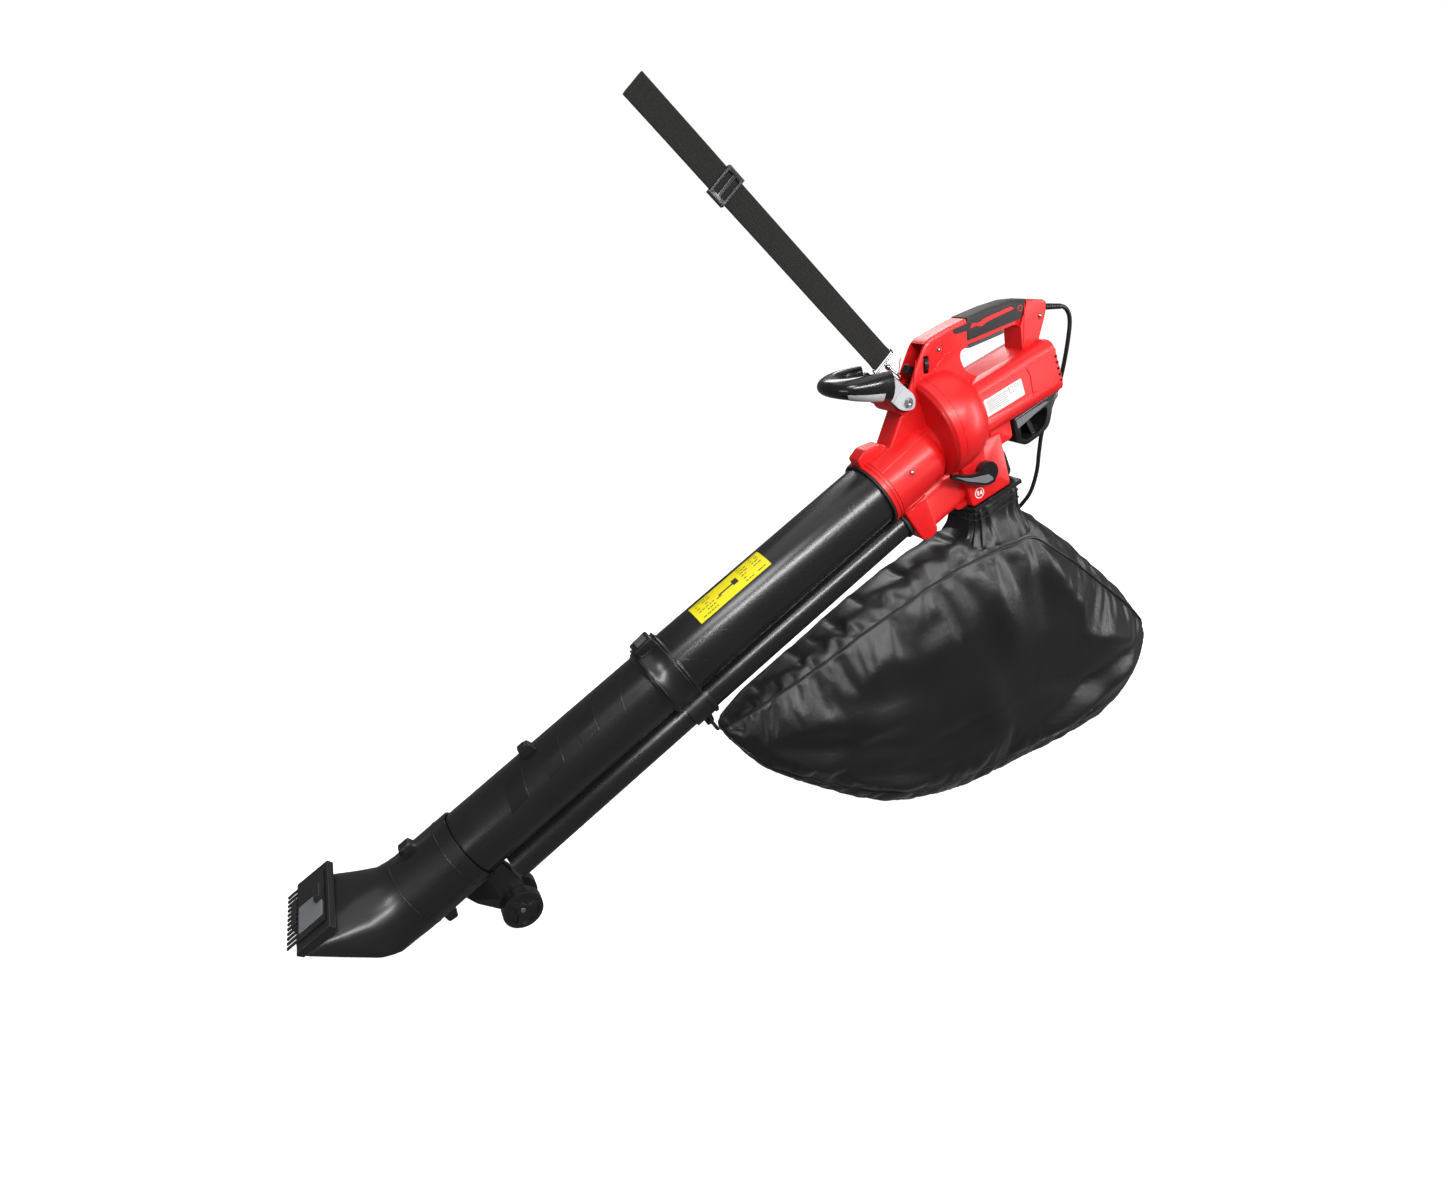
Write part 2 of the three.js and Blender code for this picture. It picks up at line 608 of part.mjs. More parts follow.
function addNozzle() {
  const shell = nozzleSkin(0, 0).subtract(nozzleSkin(3, 1));
  const start = nozzleStart;
  const neck = nozzleNeck;
  const underLug = plate([
    [start - 78, 1.5 - neck], [start - 99, 0.5 - neck, 3], [start - 100, -neck - 20.5, 4],
    [start - 85, -neck - 22.5, 4],
  ], -7, 7);
  const inside = drum(start - 123, start - 40, neck - 1, 0, 40);
  const topLug = plate([
    [start - 75, neck - 2.5], [start - 71, neck + 13.5, 3], [start - 53, neck + 13.5, 3],
    [start - 49, neck - 2.5],
  ], -8, 8);
  const lugs = underLug.add(topLug).subtract(inside);
  add('nozzle', shell.add(lugs), 'black');
  const rest = neck + 35.7;
  const rack = box([start - 219, start - 177], [-58, 58], [rest, rest + 2.6]);
  const teeth = Array.from({ length: 12 }, (_, i) => box(
    [start - 237, start - 218], [10 * i - 57, 10 * i - 52], [rest, rest + 2.6],
  ));
  const knob = plate([
    [start - 189, rest + 1], [start - 187, rest + 12, 3], [start - 177, rest + 12, 3],
    [start - 177, rest + 1],
  ], -14, 14);
  add('rake_plate', union(rack, knob, ...teeth), 'black');
}

// ---- wheels ----
function addWheels() {
  const [x, z] = wheelPlace;
  const bracket = plate([
    [x + 24, -nozzleNeck - 1.2], [x - 46, -nozzleNeck - 1.2], [x - 42, -84, 6], [x - 14, z - 12, 8],
    [x + 12, z - 12, 8], [x + 28, -100, 6],
  ], -wheelGap / 2 + 1, wheelGap / 2 - 1, 1);
  const blowerEnd = drum(x + 26, x + 60, blowerRadius + 2, -blowerDrop, 36);
  const axleHole = pin(wheelPlace, -20, 20, axleRadius + gap, 20);
  const nearNeck = drum(x - 60, x + 40, nozzleNeck + gap, 0, 56);
  const body = bracket.subtract(axleHole).subtract(blowerEnd).subtract(nearNeck);
  add('wheel_bracket', body, 'black');
  const end = wheelGap / 2 + wheelWidth;
  add('wheel_axle', pin(wheelPlace, -end - 1, end + 1, axleRadius, 20), 'steel');
  for (const [side, name] of [[-1, 'right'], [1, 'left']]) {
    const inner = side * wheelGap / 2;
    const outer = side * end;
    const [low, high] = inner < outer ? [inner, outer] : [outer, inner];
    const wheel = pin([0, 0], low, high, wheelRadius, 36);
    const [near, far] = side < 0 ? [low - 1, low + 4] : [high - 4, high + 1];
    const face = pin([0, 0], near, far, wheelRadius - 6, 32);
    const hub = pin([0, 0], low, high, 10, 24);
    const spokes = Array.from({ length: 3 }, (_, i) => box(
      [0, wheelRadius - 5], [low, high], [-4, 4],
    ).rotate([0, 120 * i + 20, 0]));
    const bore = pin([0, 0], -60, 60, axleRadius + gap, 20);
    const solidWheel = union(wheel.subtract(face), hub, ...spokes).subtract(bore);
    add(`wheel_${name}`, solidWheel.translate([x, 0, z]), 'softBlack');
  }
}

// ---- selector and bag port ----
function addSelector() {
  const [x, z] = selectorPlace;
  const face = -blockHalfWidth - gap;
  const knob = pin(selectorPlace, face - 12, face, 19, 32);
  const arm = plate([
    [x - 4, z + 8, 3], [x - 40, z + 19, 6], [x - 64, z + 33, 3], [x - 73, z + 39, 2], [x - 75, z + 30, 2],
    [x - 50, z + 9, 10], [x - 14, z - 16, 8], [x + 6, z - 17, 8],
  ], face - 19, face - 11.5);
  const shaft = pin(selectorPlace, face - 2, blockHalfWidth - 5 - gap, selectorShaftRadius, 20);
  const flap = box([x - 33, x], [-blockHalfWidth + 6, blockHalfWidth - 6], [z - 1.5, z + 1.5]);
  add('selector_lever', union(knob, arm, shaft, flap), 'black', motorUnit);
}

function addBagPort() {
  const top = portLow - gap;
  const outer = box([-22, 84], [-44, 44], [top - 8, top]);
  const opening = box([-16, 58], [-36, 36], [top - 20, top + 20]);
  add('bag_frame', outer.subtract(opening), 'black', motorUnit);
  const latch = plate([
    [71.5, -92, 3], [79, -92, 4], [88, -112, 6], [90, -150, 5], [84, -156.6, 2], [76, -156.6, 2],
    [74, -120, 4],
  ], -15, 15, 0);
  const ear = pin([76, -98], -15, 15, 7, 20);
  const hole = pin([76, -98], -20, 20, 2 + gap, 16);
  add('bag_latch', latch.add(ear).subtract(hole), 'black', motorUnit);
  add('latch_pin', pin([76, -98], -19, 19, 2, 16), 'steel', motorUnit);
  const neck = plate([
    [-19, top - 8.4], [81, top - 8.4], [86, top - 34], [-26, top - 38],
  ], -40, 40, 0);
  const neckHole = plate([
    [-15, top - 2], [57, top - 2], [57, top - 50], [-15, top - 50],
  ], -34, 34, 0);
  add('bag_neck', neck.subtract(neckHole), 'fabric', motorUnit);
}

// ---- front handle ----
function addFrontHandle() {
  const [x, z] = pivotPlace;
  const [low, high] = [-pivotHalfWidth - 7, -pivotHalfWidth - gap];
  const armLine = [
    [x + 17, z + 2, 14], [x + 6, z - 17, 12], [x - 17, z - 4, 12], [x - 32, z + 44], [x - 2, z + 54],
  ];
  const bolt = pin(pivotPlace, -60, 60, pivotRadius + gap, 20);
  const arms = [plate(armLine, low, high), plate(armLine, -high, -low)];
  const stations = Array.from({ length: 15 }, (_, i) => Math.PI * (i / 14 - 0.5));
  const bow = loft(stations.map((turn) => {
    const [ahead, side] = [Math.cos(turn), Math.sin(turn)];
    const reach = Math.abs(ahead) ** 0.7;
    const centre = [x - 14 - 66 * reach, 44 * side + 4 * side * ahead, z + 44 + 40 * reach];
    const out = new THREE.Vector3(-0.85 * ahead, 1.1 * side, 0.52 * ahead).normalize();
    const deep = 12 + 8 * ahead;
    const thick = 12 + 2 * ahead;
    return Array.from({ length: 14 }, (__, k) => {
      const phase = 2 * Math.PI * k / 14;
      const [a, b] = [deep * Math.cos(phase), thick * Math.sin(phase)];
      return [centre[0] + a * out.x + 0.52 * b, centre[1] + a * out.y, centre[2] + a * out.z + 0.85 * b];
    });
  }));
  const keepClear = pin([x, z], high, -high, 52, 32);
  const seats = plate(armLine, low - 12, low).add(plate(armLine, -low, -low + 12));
  const grip = union(bow, ...arms).subtract(union(bolt, keepClear, seats));
  add('front_grip', grip, 'softBlack');
  for (const [side, name] of [[-1, 'right'], [1, 'left']]) {
    const near = side < 0 ? low - gap : -low + gap;
    const far = near + side * 4;
    const [a, b] = near < far ? [near, far] : [far, near];
    const base = plate(armLine.map(([u, v, r = 3]) => [x + (u - x) * 0.96, z + (v - z) * 0.96, r]), a, b);
    const ribs = Array.from({ length: 5 }, (_, i) => box(
      [-15, 15], side < 0 ? [a - 1.2, a + 1] : [b - 1, b + 1.2], [22 + 6 * i, 25 + 6 * i],
    ).rotate([0, -18, 0]).translate([x, 0, z]));
    const seat = pin(pivotPlace, side < 0 ? a - 2 : b - 2.4, side < 0 ? a + 2.4 : b + 2, 9, 24);
    add(`rib_plate_${name}`, union(base, ...ribs).subtract(bolt).subtract(seat), 'grey');
  }
  const outside = -low + gap + 4;
  const head = pin(pivotPlace, -outside - 4, -outside + 2, 6.6, 6);
  const socket = pin(pivotPlace, -outside - 6, -outside - 1, 3, 6);
  const shank = pin(pivotPlace, -outside, outside + 3, pivotRadius, 20);
  add('pivot_bolt', head.add(shank).subtract(socket), 'steel');
  const nut = pin(pivotPlace, outside - 1.9, outside + 4, 7, 6);
  add('pivot_nut', nut.subtract(bolt), 'steel');
}

// ---- pieces that hang in the working pose ----
function toRow(x, z) {
  const place = new THREE.Vector3(x - gripCentre[0], 0, z - gripCentre[2]);
  return place.applyEuler(tool.rotation);
}

// The full bag's top and bottom edges, from its tip to its far corner.
const bagTop = [
  [-478, -630], [-424, -590], [-332, -530], [-237, -466], [-140, -409], [-43, -362], [-10, -350],
  [84, -305], [108, -316], [220, -408], [366, -519], [440, -589], [458, -618],
];
const bagBottom = [
  [-478, -640], [-451, -674], [-404, -720], [-326, -768], [-221, -823], [-155, -848], [-99, -858],
  [5, -860], [125, -838], [250, -814], [328, -796], [373, -769], [413, -722], [458, -640],
];

function along(line, x) {
  const i = Math.max(1, line.findIndex(([edge]) => edge >= x));
  const [[x0, z0], [x1, z1]] = [line[i - 1], line[i]];
  return z0 + (z1 - z0) * (x - x0) / (x1 - x0);
}

function addBag() {
  const places = [
    -478, -468, -446, -410, -360, -300, -230, -150, -80, -30, 0, 40, 84, 112, 170, 240, 310, 370, 415,
    443, 458,
  ];
  const span = places[places.length - 1] - places[0];
  const sections = places.map((x) => {
    const top = along(bagTop, x);
    const bottom = along(bagBottom, x);
    const thick = 10 + (bagHalfThickness - 10) * Math.sqrt(Math.sin(Math.PI * (x - places[0]) / span));
    return Array.from({ length: 20 }, (_, i) => {
      const turn = 2 * Math.PI * i / 20;
      const up = Math.sign(Math.sin(turn)) * Math.abs(Math.sin(turn)) ** 0.85;
      return [x, Math.cos(turn) * thick, (top + bottom) / 2 + up * (top - bottom) / 2];
    });
  });
  add('bag', loft(sections), 'fabric', model);
  const eye = [52 - blowerUpperLength - 74, -blowerDrop - 38];
  const tip = [eye[0] + 1, eye[1] - 20];
  const arms = [-1, 1].map((side) => box(
    [eye[0] - 2.5, eye[0] + 3.5], side < 0 ? [-12, -9.4] : [9.4, 12], [tip[1], eye[1]],
  ));
  const link = union(pin(eye, -12, 12, 3.4, 16), ...arms, pin(tip, -12, 12, 2.5, 16));
  add('bag_hook', link, 'black');
}

function addStrap() {
  const strapUnit = new THREE.Group();
  strapUnit.position.copy(toRow(...eyePlace));
  strapUnit.rotation.y = THREE.MathUtils.degToRad(-strapSlope);
  model.add(strapUnit);
  const hook = [
    [30, 0, 0], [24, -5, 0], [15, -9.5, 0], [6, -9.5, 0], [0.3, -4.5, 0], [0.3, 4.5, 0], [6, 9.5, 0],
  ];
  const barrel = drum(26, 34, 4.2, 0, 16);
  add('snap_hook', pipe(hook, 4, 20, 3).add(barrel), 'nickel', strapUnit);
  add('hook_gate', pipe([[9, 9.6, 0], [16, 9, 0], [22, 6.5, 0]], 2.8, 5, 3), 'nickel', strapUnit);
  const near = loopReach - loopHeight;
  const half = strapWidth / 2 + 3;
  const wire = 1.5;
  const loop = union(
    drum(34.3, near, 2.2, 0, 12),
    box([near - wire, near + wire], [-wire, wire], [-half, half]),
    box([loopReach - wire, loopReach + wire], [-wire, wire], [-half, half]),
    ...[-1, 1].map((side) => box(
      [near - wire, loopReach + wire], [-wire, wire], side < 0 ? [-half, -half + 3] : [half - 3, half],
    )),
  );
  add('wire_loop', loop, 'nickel', strapUnit);
  const start = loopReach + wire + gap;
  add('shoulder_strap', box(
    [start, start + strapLength], [-strapPlies / 2, strapPlies / 2], [-strapWidth / 2, strapWidth / 2],
  ), 'webbing', strapUnit);
  const slot = strapPlies / 2 + gap;
  const frame = box([sliderPlace - 15, sliderPlace + 15], [-slot - 2.2, slot + 2.2],
    [-strapWidth / 2 - 5, strapWidth / 2 + 5]);
  const way = box([sliderPlace - 20, sliderPlace + 20], [-slot, slot],
    [-strapWidth / 2 - gap, strapWidth / 2 + gap]);
  const windows = [-1, 1].map((side) => box(
    [sliderPlace + 7 * side - 4, sliderPlace + 7 * side + 4], [-20, 20], [-17, 17],
  ));
  add('strap_slider', frame.subtract(union(way, ...windows)), 'black', strapUnit);
}

// The free cord's route, from the strain relief to the plug behind the bag.
const cordPoints = [
  [163.3, 0, 18.4], [170, 0.5, 17.6], [179, 1.5, 13], [187, 2.5, 3.5], [192, 4, -10], [194.5, 6, -28],
  [197, 10, -56], [200, 16, -84], [201, 22, -111], [198, 34, -158], [192, 43, -205], [194, 48, -245],
  [198, 53, -284], [196, 62, -326], [188, 77, -356], [174, 93, -384], [158, 106, -412], [146, 112, -434],
];

function addCord() {
  const exit = toRow(...cordExit);
  const relief = round([
    [-16, 0], [-16, reliefRadius], [0.4, reliefRadius], [0.6, reliefFlange], [5, reliefFlange], [7, 5.9],
    [reliefLength - 2, 4.9], [reliefLength, 4.5], [reliefLength, 0],
  ], 0, 20);
  const reliefGroup = new THREE.Group();
  reliefGroup.position.copy(exit);
  model.add(reliefGroup);
  add('strain_relief', relief, 'softBlack', reliefGroup);
  add('cord', pipe(cordPoints, cordDiameter, 46, 5), 'softBlack', model);
  const plug = new THREE.Group();
  const [from, to] = cordPoints.slice(-2).map((p) => new THREE.Vector3(...p));
  const heading = to.clone().sub(from).normalize();
  plug.position.copy(to).addScaledVector(heading, gap);
  plug.quaternion.setFromUnitVectors(new THREE.Vector3(1, 0, 0), heading);
  model.add(plug);
  add('plug', round([
    [0, 0], [0, 5], [14, 6.5], [20, 12], [26, 17], [44, 18.5], [48, 18.5], [48, 0],
  ], 0, 24), 'black', plug);
  const prongs = [-1, 1].map((side) => drum(48.3, 67, 2.3, 9.5 * side, 12));
  add('plug_pins', union(box([48.3, 49.8], [-4, 4], [-11, 11]), ...prongs), 'nickel', plug);
}

function addTrim() {
  const [low, high] = labelPlace;
  const sector = new THREE.Shape();
  const [from, to] = [84, 127].map(THREE.MathUtils.degToRad);
  sector.absarc(0, 0, suctionRadius + gap + 0.7, from, to, false);
  sector.absarc(0, 0, suctionRadius + gap, to, from, true);
  const geometry = new THREE.ExtrudeGeometry(sector, {
    depth: high - low, curveSegments: 10, bevelEnabled: false,
  });
  turned(turned(geometry, 'X', 90), 'Z', 90).translate(low, 0, 0);
  add('tube_label', solid(geometry), 'yellow');
}

addHousing();
addMotor();
addRear();
addHandle();
addTubes();
addNozzle();
addWheels();
addSelector();
addBagPort();
addFrontHandle();
addBag();
addStrap();
addCord();
addTrim();

export default model;
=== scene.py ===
# Leaf blower and vacuum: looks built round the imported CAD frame.
import math

import bmesh
import bpy
import numpy as np
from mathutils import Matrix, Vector


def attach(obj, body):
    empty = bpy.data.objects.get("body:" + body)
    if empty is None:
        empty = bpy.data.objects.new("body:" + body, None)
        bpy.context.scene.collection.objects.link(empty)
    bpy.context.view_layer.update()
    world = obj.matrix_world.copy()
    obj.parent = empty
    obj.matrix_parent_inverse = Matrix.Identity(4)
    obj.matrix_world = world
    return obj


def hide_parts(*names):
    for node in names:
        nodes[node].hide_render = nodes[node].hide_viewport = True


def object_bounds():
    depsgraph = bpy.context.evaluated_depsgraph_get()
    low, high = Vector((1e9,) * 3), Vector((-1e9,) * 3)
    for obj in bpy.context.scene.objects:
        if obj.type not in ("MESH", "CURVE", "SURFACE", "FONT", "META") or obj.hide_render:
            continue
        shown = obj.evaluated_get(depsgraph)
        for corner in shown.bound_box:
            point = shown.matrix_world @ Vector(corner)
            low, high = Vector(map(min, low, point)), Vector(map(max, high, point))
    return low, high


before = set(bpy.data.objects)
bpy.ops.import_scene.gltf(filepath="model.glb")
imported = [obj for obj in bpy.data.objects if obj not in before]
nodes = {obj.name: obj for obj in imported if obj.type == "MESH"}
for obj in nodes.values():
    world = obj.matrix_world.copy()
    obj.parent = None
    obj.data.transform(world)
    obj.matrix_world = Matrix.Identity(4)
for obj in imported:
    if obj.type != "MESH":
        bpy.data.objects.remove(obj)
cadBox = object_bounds()
print("frame loaded:", len(nodes), "nodes")

# Places, in mm along the tool, brought to metres in the row frame.
layout = {
    "tubeSlope": 34.2,         # degrees, the suction tube's fall
    "motorTilt": 10.0,         # degrees, the motor against the tube
    "gripCentre": (317, 112),  # the main grip's middle, along and above the tube
    "fanCentre": (170, 22),
    "strapSlope": 137.6,
    "eyePlace": (131.5, 128.5),
}
slopeCos = math.cos(math.radians(layout["tubeSlope"]))
slopeSin = math.sin(math.radians(layout["tubeSlope"]))


# Points (along, across, above) in mm on the tool: turned by the slope about the grip, in metres.
def toolToRow(points):
    p = np.asarray(points, float)
    along = p[..., 0] - layout["gripCentre"][0]
    above = p[..., 2] - layout["gripCentre"][1]
    return np.stack([slopeCos * along - slopeSin * above, p[..., 1],
                     slopeSin * along + slopeCos * above], -1) / 1000


# The motor's own frame turned by its tilt about the fan's centre.
def motorToTool(points):
    p = np.asarray(points, float)
    tilt = math.radians(layout["motorTilt"])
    along = layout["fanCentre"][0] + math.cos(tilt) * p[..., 0] + math.sin(tilt) * p[..., 2]
    above = layout["fanCentre"][1] - math.sin(tilt) * p[..., 0] + math.cos(tilt) * p[..., 2]
    return np.stack([along, p[..., 1], above], -1)


def motorToRow(points):
    return toolToRow(motorToTool(points))


# Points in mm on the strap: x up the strap, y through it, z across it.
def strapToRow(points):
    p = np.asarray(points, float) / 1000
    eye = toolToRow([layout["eyePlace"][0], 0, layout["eyePlace"][1]])
    turn = math.radians(layout["strapSlope"])
    x = math.cos(turn) * p[..., 0] - math.sin(turn) * p[..., 2]
    z = math.sin(turn) * p[..., 0] + math.cos(turn) * p[..., 2]
    return np.stack([eye[0] + x, eye[1] + p[..., 1], eye[2] + z], -1)


def mmToRow(points):
    return np.asarray(points, float) / 1000


# Vectors brought to length one.
def unit(vectors):
    return vectors / np.linalg.norm(vectors, axis=-1, keepdims=True)


# How far along a path each of its points lies.
def alongPath(points):
    return np.concatenate([[0], np.cumsum(np.linalg.norm(np.diff(points, axis=0), axis=1))])


def placed(name, data):
    thing = bpy.data.objects.new(name, data)
    bpy.context.scene.collection.objects.link(thing)
    return thing


bothSides = ((-1, "right"), (1, "left"))

# Camera.
cameraValues = {
    "place": (-1.0065, -1.1834, 0.0732),
    "turn": (73.94, 0.0, -24.53),
    "lens": 22.05,
    "shift": (-0.0026, -0.0469),
}
camera = placed("camera", bpy.data.cameras.new("camera"))
camera.location = cameraValues["place"]
camera.rotation_euler = [math.radians(a) for a in cameraValues["turn"]]
camera.data.lens = cameraValues["lens"]
camera.data.sensor_width = 36
camera.data.shift_x, camera.data.shift_y = cameraValues["shift"]
camera.data.clip_start = 0.05
bpy.context.scene.camera = camera


# Meshes.
def smoothShade(mesh, angle=38):
    mesh.shade_smooth()
    mesh.set_sharp_from_angle(angle=math.radians(angle))


# A piece from vertex places in metres and lists of faces.
def meshPiece(name, points, faces, look, body, uv=None, angle=38, replaces=()):
    mesh = bpy.data.meshes.new(name)
    mesh.from_pydata([tuple(p) for p in np.asarray(points).reshape(-1, 3)], [], faces)
    mesh.update()
    if uv is not None:
        layer = mesh.uv_layers.new(name="UVMap")
        corner = np.zeros(len(mesh.loops), int)
        mesh.loops.foreach_get("vertex_index", corner)
        layer.data.foreach_set("uv", np.asarray(uv, float).reshape(-1, 2)[corner].ravel())
    smoothShade(mesh, angle)
    piece = placed(name, mesh)
    mesh.materials.append(look)
    return register(piece, body, replaces)


def register(piece, body, replaces=()):
    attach(piece, body)
    if replaces:
        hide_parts(*replaces)
    return piece


# Quads of a grid of rows by columns points, joined round where it closes.
def gridFaces(rows, columns, closeRows=False, closeColumns=False):
    r = np.arange(rows if closeRows else rows - 1)
    c = np.arange(columns if closeColumns else columns - 1)
    r, c = np.meshgrid(r, c, indexing="ij")
    nextRow, nextColumn = (r + 1) % rows, (c + 1) % columns
    quads = np.stack([r * columns + c, r * columns + nextColumn,
                      nextRow * columns + nextColumn, nextRow * columns + c], -1)
    return quads.reshape(-1, 4).tolist()


# A piece from a grid of points (rows, columns, 3); caps close its first and last rows.
def gridPiece(name, grid, look, body, slot, closeRows=False, closeColumns=False, caps=False,
              uv=None, angle=38, replaces=()):
    rows, columns = grid.shape[:2]
    faces = gridFaces(rows, columns, closeRows, closeColumns)
    if caps:
        first, last = list(range(columns)), list(range((rows - 1) * columns, rows * columns))
        faces += [first[::-1], last]
    piece = meshPiece(name, grid, faces, look, body, uv, angle, replaces)
    faceOutward(piece)
    return piece


def cappedPiece(name, grid, look, body, slot, **more):
    return gridPiece(name, grid, look, body, slot, closeColumns=True, caps=True, **more)


def ringPiece(name, grid, look, body, slot, **more):
    return gridPiece(name, grid, look, body, slot, closeRows=True, closeColumns=True, **more)


# Turns a closed mesh whose signed volume is below nothing the right way out.
def faceOutward(piece):
    bm = bmesh.new()
    bm.from_mesh(piece.data)
    if bm.calc_volume(signed=True) < 0:
        bmesh.ops.reverse_faces(bm, faces=bm.faces)
        bm.to_mesh(piece.data)
    bm.free()


def bevelled(piece, width, angle=32):
    bevel = piece.modifiers.new("bevel", "BEVEL")
    bevel.width, bevel.segments = width, 2
    bevel.limit_method, bevel.angle_limit = "ANGLE", math.radians(angle)
    bevel.use_clamp_overlap = bevel.harden_normals = True
    bevel.miter_outer = "MITER_ARC"


# A copy of a CAD node, its triangles merged into flat faces and its edges rounded.
def polished(node, look, body, slot, bevel=0.0009, shade=36):
    mesh = nodes[node].data.copy()
    bm = bmesh.new()
    bm.from_mesh(mesh)
    bmesh.ops.remove_doubles(bm, verts=bm.verts, dist=4e-6)
    bmesh.ops.dissolve_degenerate(bm, edges=bm.edges, dist=4e-6)
    if bevel:
        bmesh.ops.dissolve_limit(bm, angle_limit=math.radians(0.6), verts=bm.verts, edges=bm.edges)
    bm.to_mesh(mesh)
    bm.free()
    mesh.materials.clear()
    mesh.materials.append(look)
    smoothShade(mesh, shade)
    piece = placed(node + "_body", mesh)
    if bevel:
        bevelled(piece, bevel, angle=34)
    return register(piece, body, [node])


# An outline of (x, z, radius) corners: each round corner is a quadratic curve.
def cornered(points, segments=6):
    outline = []
    count = len(points)
    for i, corner in enumerate(points):
        x, z = corner[:2]
        wanted = corner[2] if len(corner) > 2 else 0
        here = np.array([x, z], float)
        before = np.array(points[i - 1][:2], float) - here
        after = np.array(points[(i + 1) % count][:2], float) - here
        radius = min(wanted, 0.46 * np.linalg.norm(before), 0.46 * np.linalg.norm(after))
        if radius <= 0:
            outline.append(here)
            continue
        start = here + before / np.linalg.norm(before) * radius
        end = here + after / np.linalg.norm(after) * radius
        for t in np.linspace(0, 1, segments + 1):
            outline.append((1 - t) ** 2 * start + 2 * t * (1 - t) * here + t * t * end)
    return np.array(outline)


# An outline in the x-z plane carried from low to high across the tool, its edges rounded.
def platePiece(name, points, low, high, look, body, slot, place=toolToRow, bevel=0.0006,
               replaces=(), curve=6):
    outline = cornered(points, curve)
    count = len(outline)
    rings = np.stack([np.stack([outline[:, 0], np.full(count, y), outline[:, 1]], -1)
                      for y in (low, high)])
    piece = cappedPiece(name, place(rings), look, body, slot, replaces=replaces, angle=36)
    if bevel:
        bevelled(piece, bevel)
    return piece


# A profile of (x, radius) points turned about x; the grid is (profile, sides, 3).
def lathe(profile, sides=96):
    p = np.asarray(profile, float)
    turn = np.linspace(0, 2 * math.pi, sides, endpoint=False)
    return np.stack([np.repeat(p[:, :1], sides, 1), p[:, 1:2] * np.cos(turn),
                     p[:, 1:2] * np.sin(turn)], -1)


# A closed round piece about x from a profile of (along, radius, corner radius).
def lathePiece(name, points, look, body, slot, centre=(0, 0, 0), sides=96, replaces=()):
    grid = lathe(cornered(points, 4), sides) + np.array(centre, float)
    return ringPiece(name, toolToRow(grid), look, body, slot, replaces=replaces, angle=40)


# A round section of the given radius carried along a smooth path of points.
def sweep(path, radius, sides=16, closed=False):
    path = np.asarray(path, float)
    tangent = np.roll(path, -1, 0) - np.roll(path, 1, 0) if closed else np.gradient(path, axis=0)
    tangent = unit(tangent)
    up = np.array([0.0, 1.0, 0.0])
    if abs(tangent[:, 1]).max() > 0.9:
        up = np.array([0.31, 0.2, 0.93])
    side = unit(np.cross(tangent, up))
    top = np.cross(side, tangent)
    turn = np.linspace(0, 2 * math.pi, sides, endpoint=False)
    radius = np.broadcast_to(np.asarray(radius, float), (len(path),))[:, None, None]
    return (path[:, None] + radius * (np.cos(turn)[None, :, None] * side[:, None]
            + np.sin(turn)[None, :, None] * top[:, None]))


# A smooth curve through the points, evenly spaced along its length.
def spline(points, count):
    p = np.asarray(points, float)
    ends = np.vstack([2 * p[0] - p[1], p, 2 * p[-1] - p[-2]])
    t = np.linspace(0, 1, 24, endpoint=False)[:, None]
    parts = []
    for a, b, c, d in zip(ends[:-3], ends[1:-2], ends[2:-1], ends[3:]):
        parts.append(0.5 * (2 * b + (c - a) * t + (2 * a - 5 * b + 4 * c - d) * t ** 2
                            + (3 * b - a - 3 * c + d) * t ** 3))
    line = np.vstack(parts + [p[-1:]])
    length = alongPath(line)
    want = np.linspace(0, length[-1], count)
    return np.stack([np.interp(want, length, line[:, k]) for k in range(p.shape[1])], -1)


def tubePiece(name, path, radius, look, body, slot, place=toolToRow, sides=16, closed=False):
    return gridPiece(name, place(sweep(path, radius, sides, closed)), look, body, slot,
                     closeRows=closed, closeColumns=True, caps=not closed)


# Materials.
# A shader socket that takes part in sums.
class Wave:
    def __init__(self, look, socket):
        self.look, self.socket = look, socket

    def maths(self, operation, a, b=None):
        values = {0: a} if b is None else {0: a, 1: b}
        return self.look.add("ShaderNodeMath", {"operation": operation}, values)

    def __add__(self, other): return self.maths("ADD", self, other)
    def __radd__(self, other): return self.maths("ADD", other, self)
    def __sub__(self, other): return self.maths("SUBTRACT", self, other)
    def __rsub__(self, other): return self.maths("SUBTRACT", other, self)
    def __mul__(self, other): return self.maths("MULTIPLY", self, other)
    def __rmul__(self, other): return self.maths("MULTIPLY", other, self)
    def __truediv__(self, other): return self.maths("DIVIDE", self, other)
    def __pow__(self, other): return self.maths("POWER", self, other)
    def sine(self): return self.maths("SINE", self)
    def size(self): return self.maths("ABSOLUTE", self)
    def above(self, other): return self.maths("GREATER_THAN", self, other)


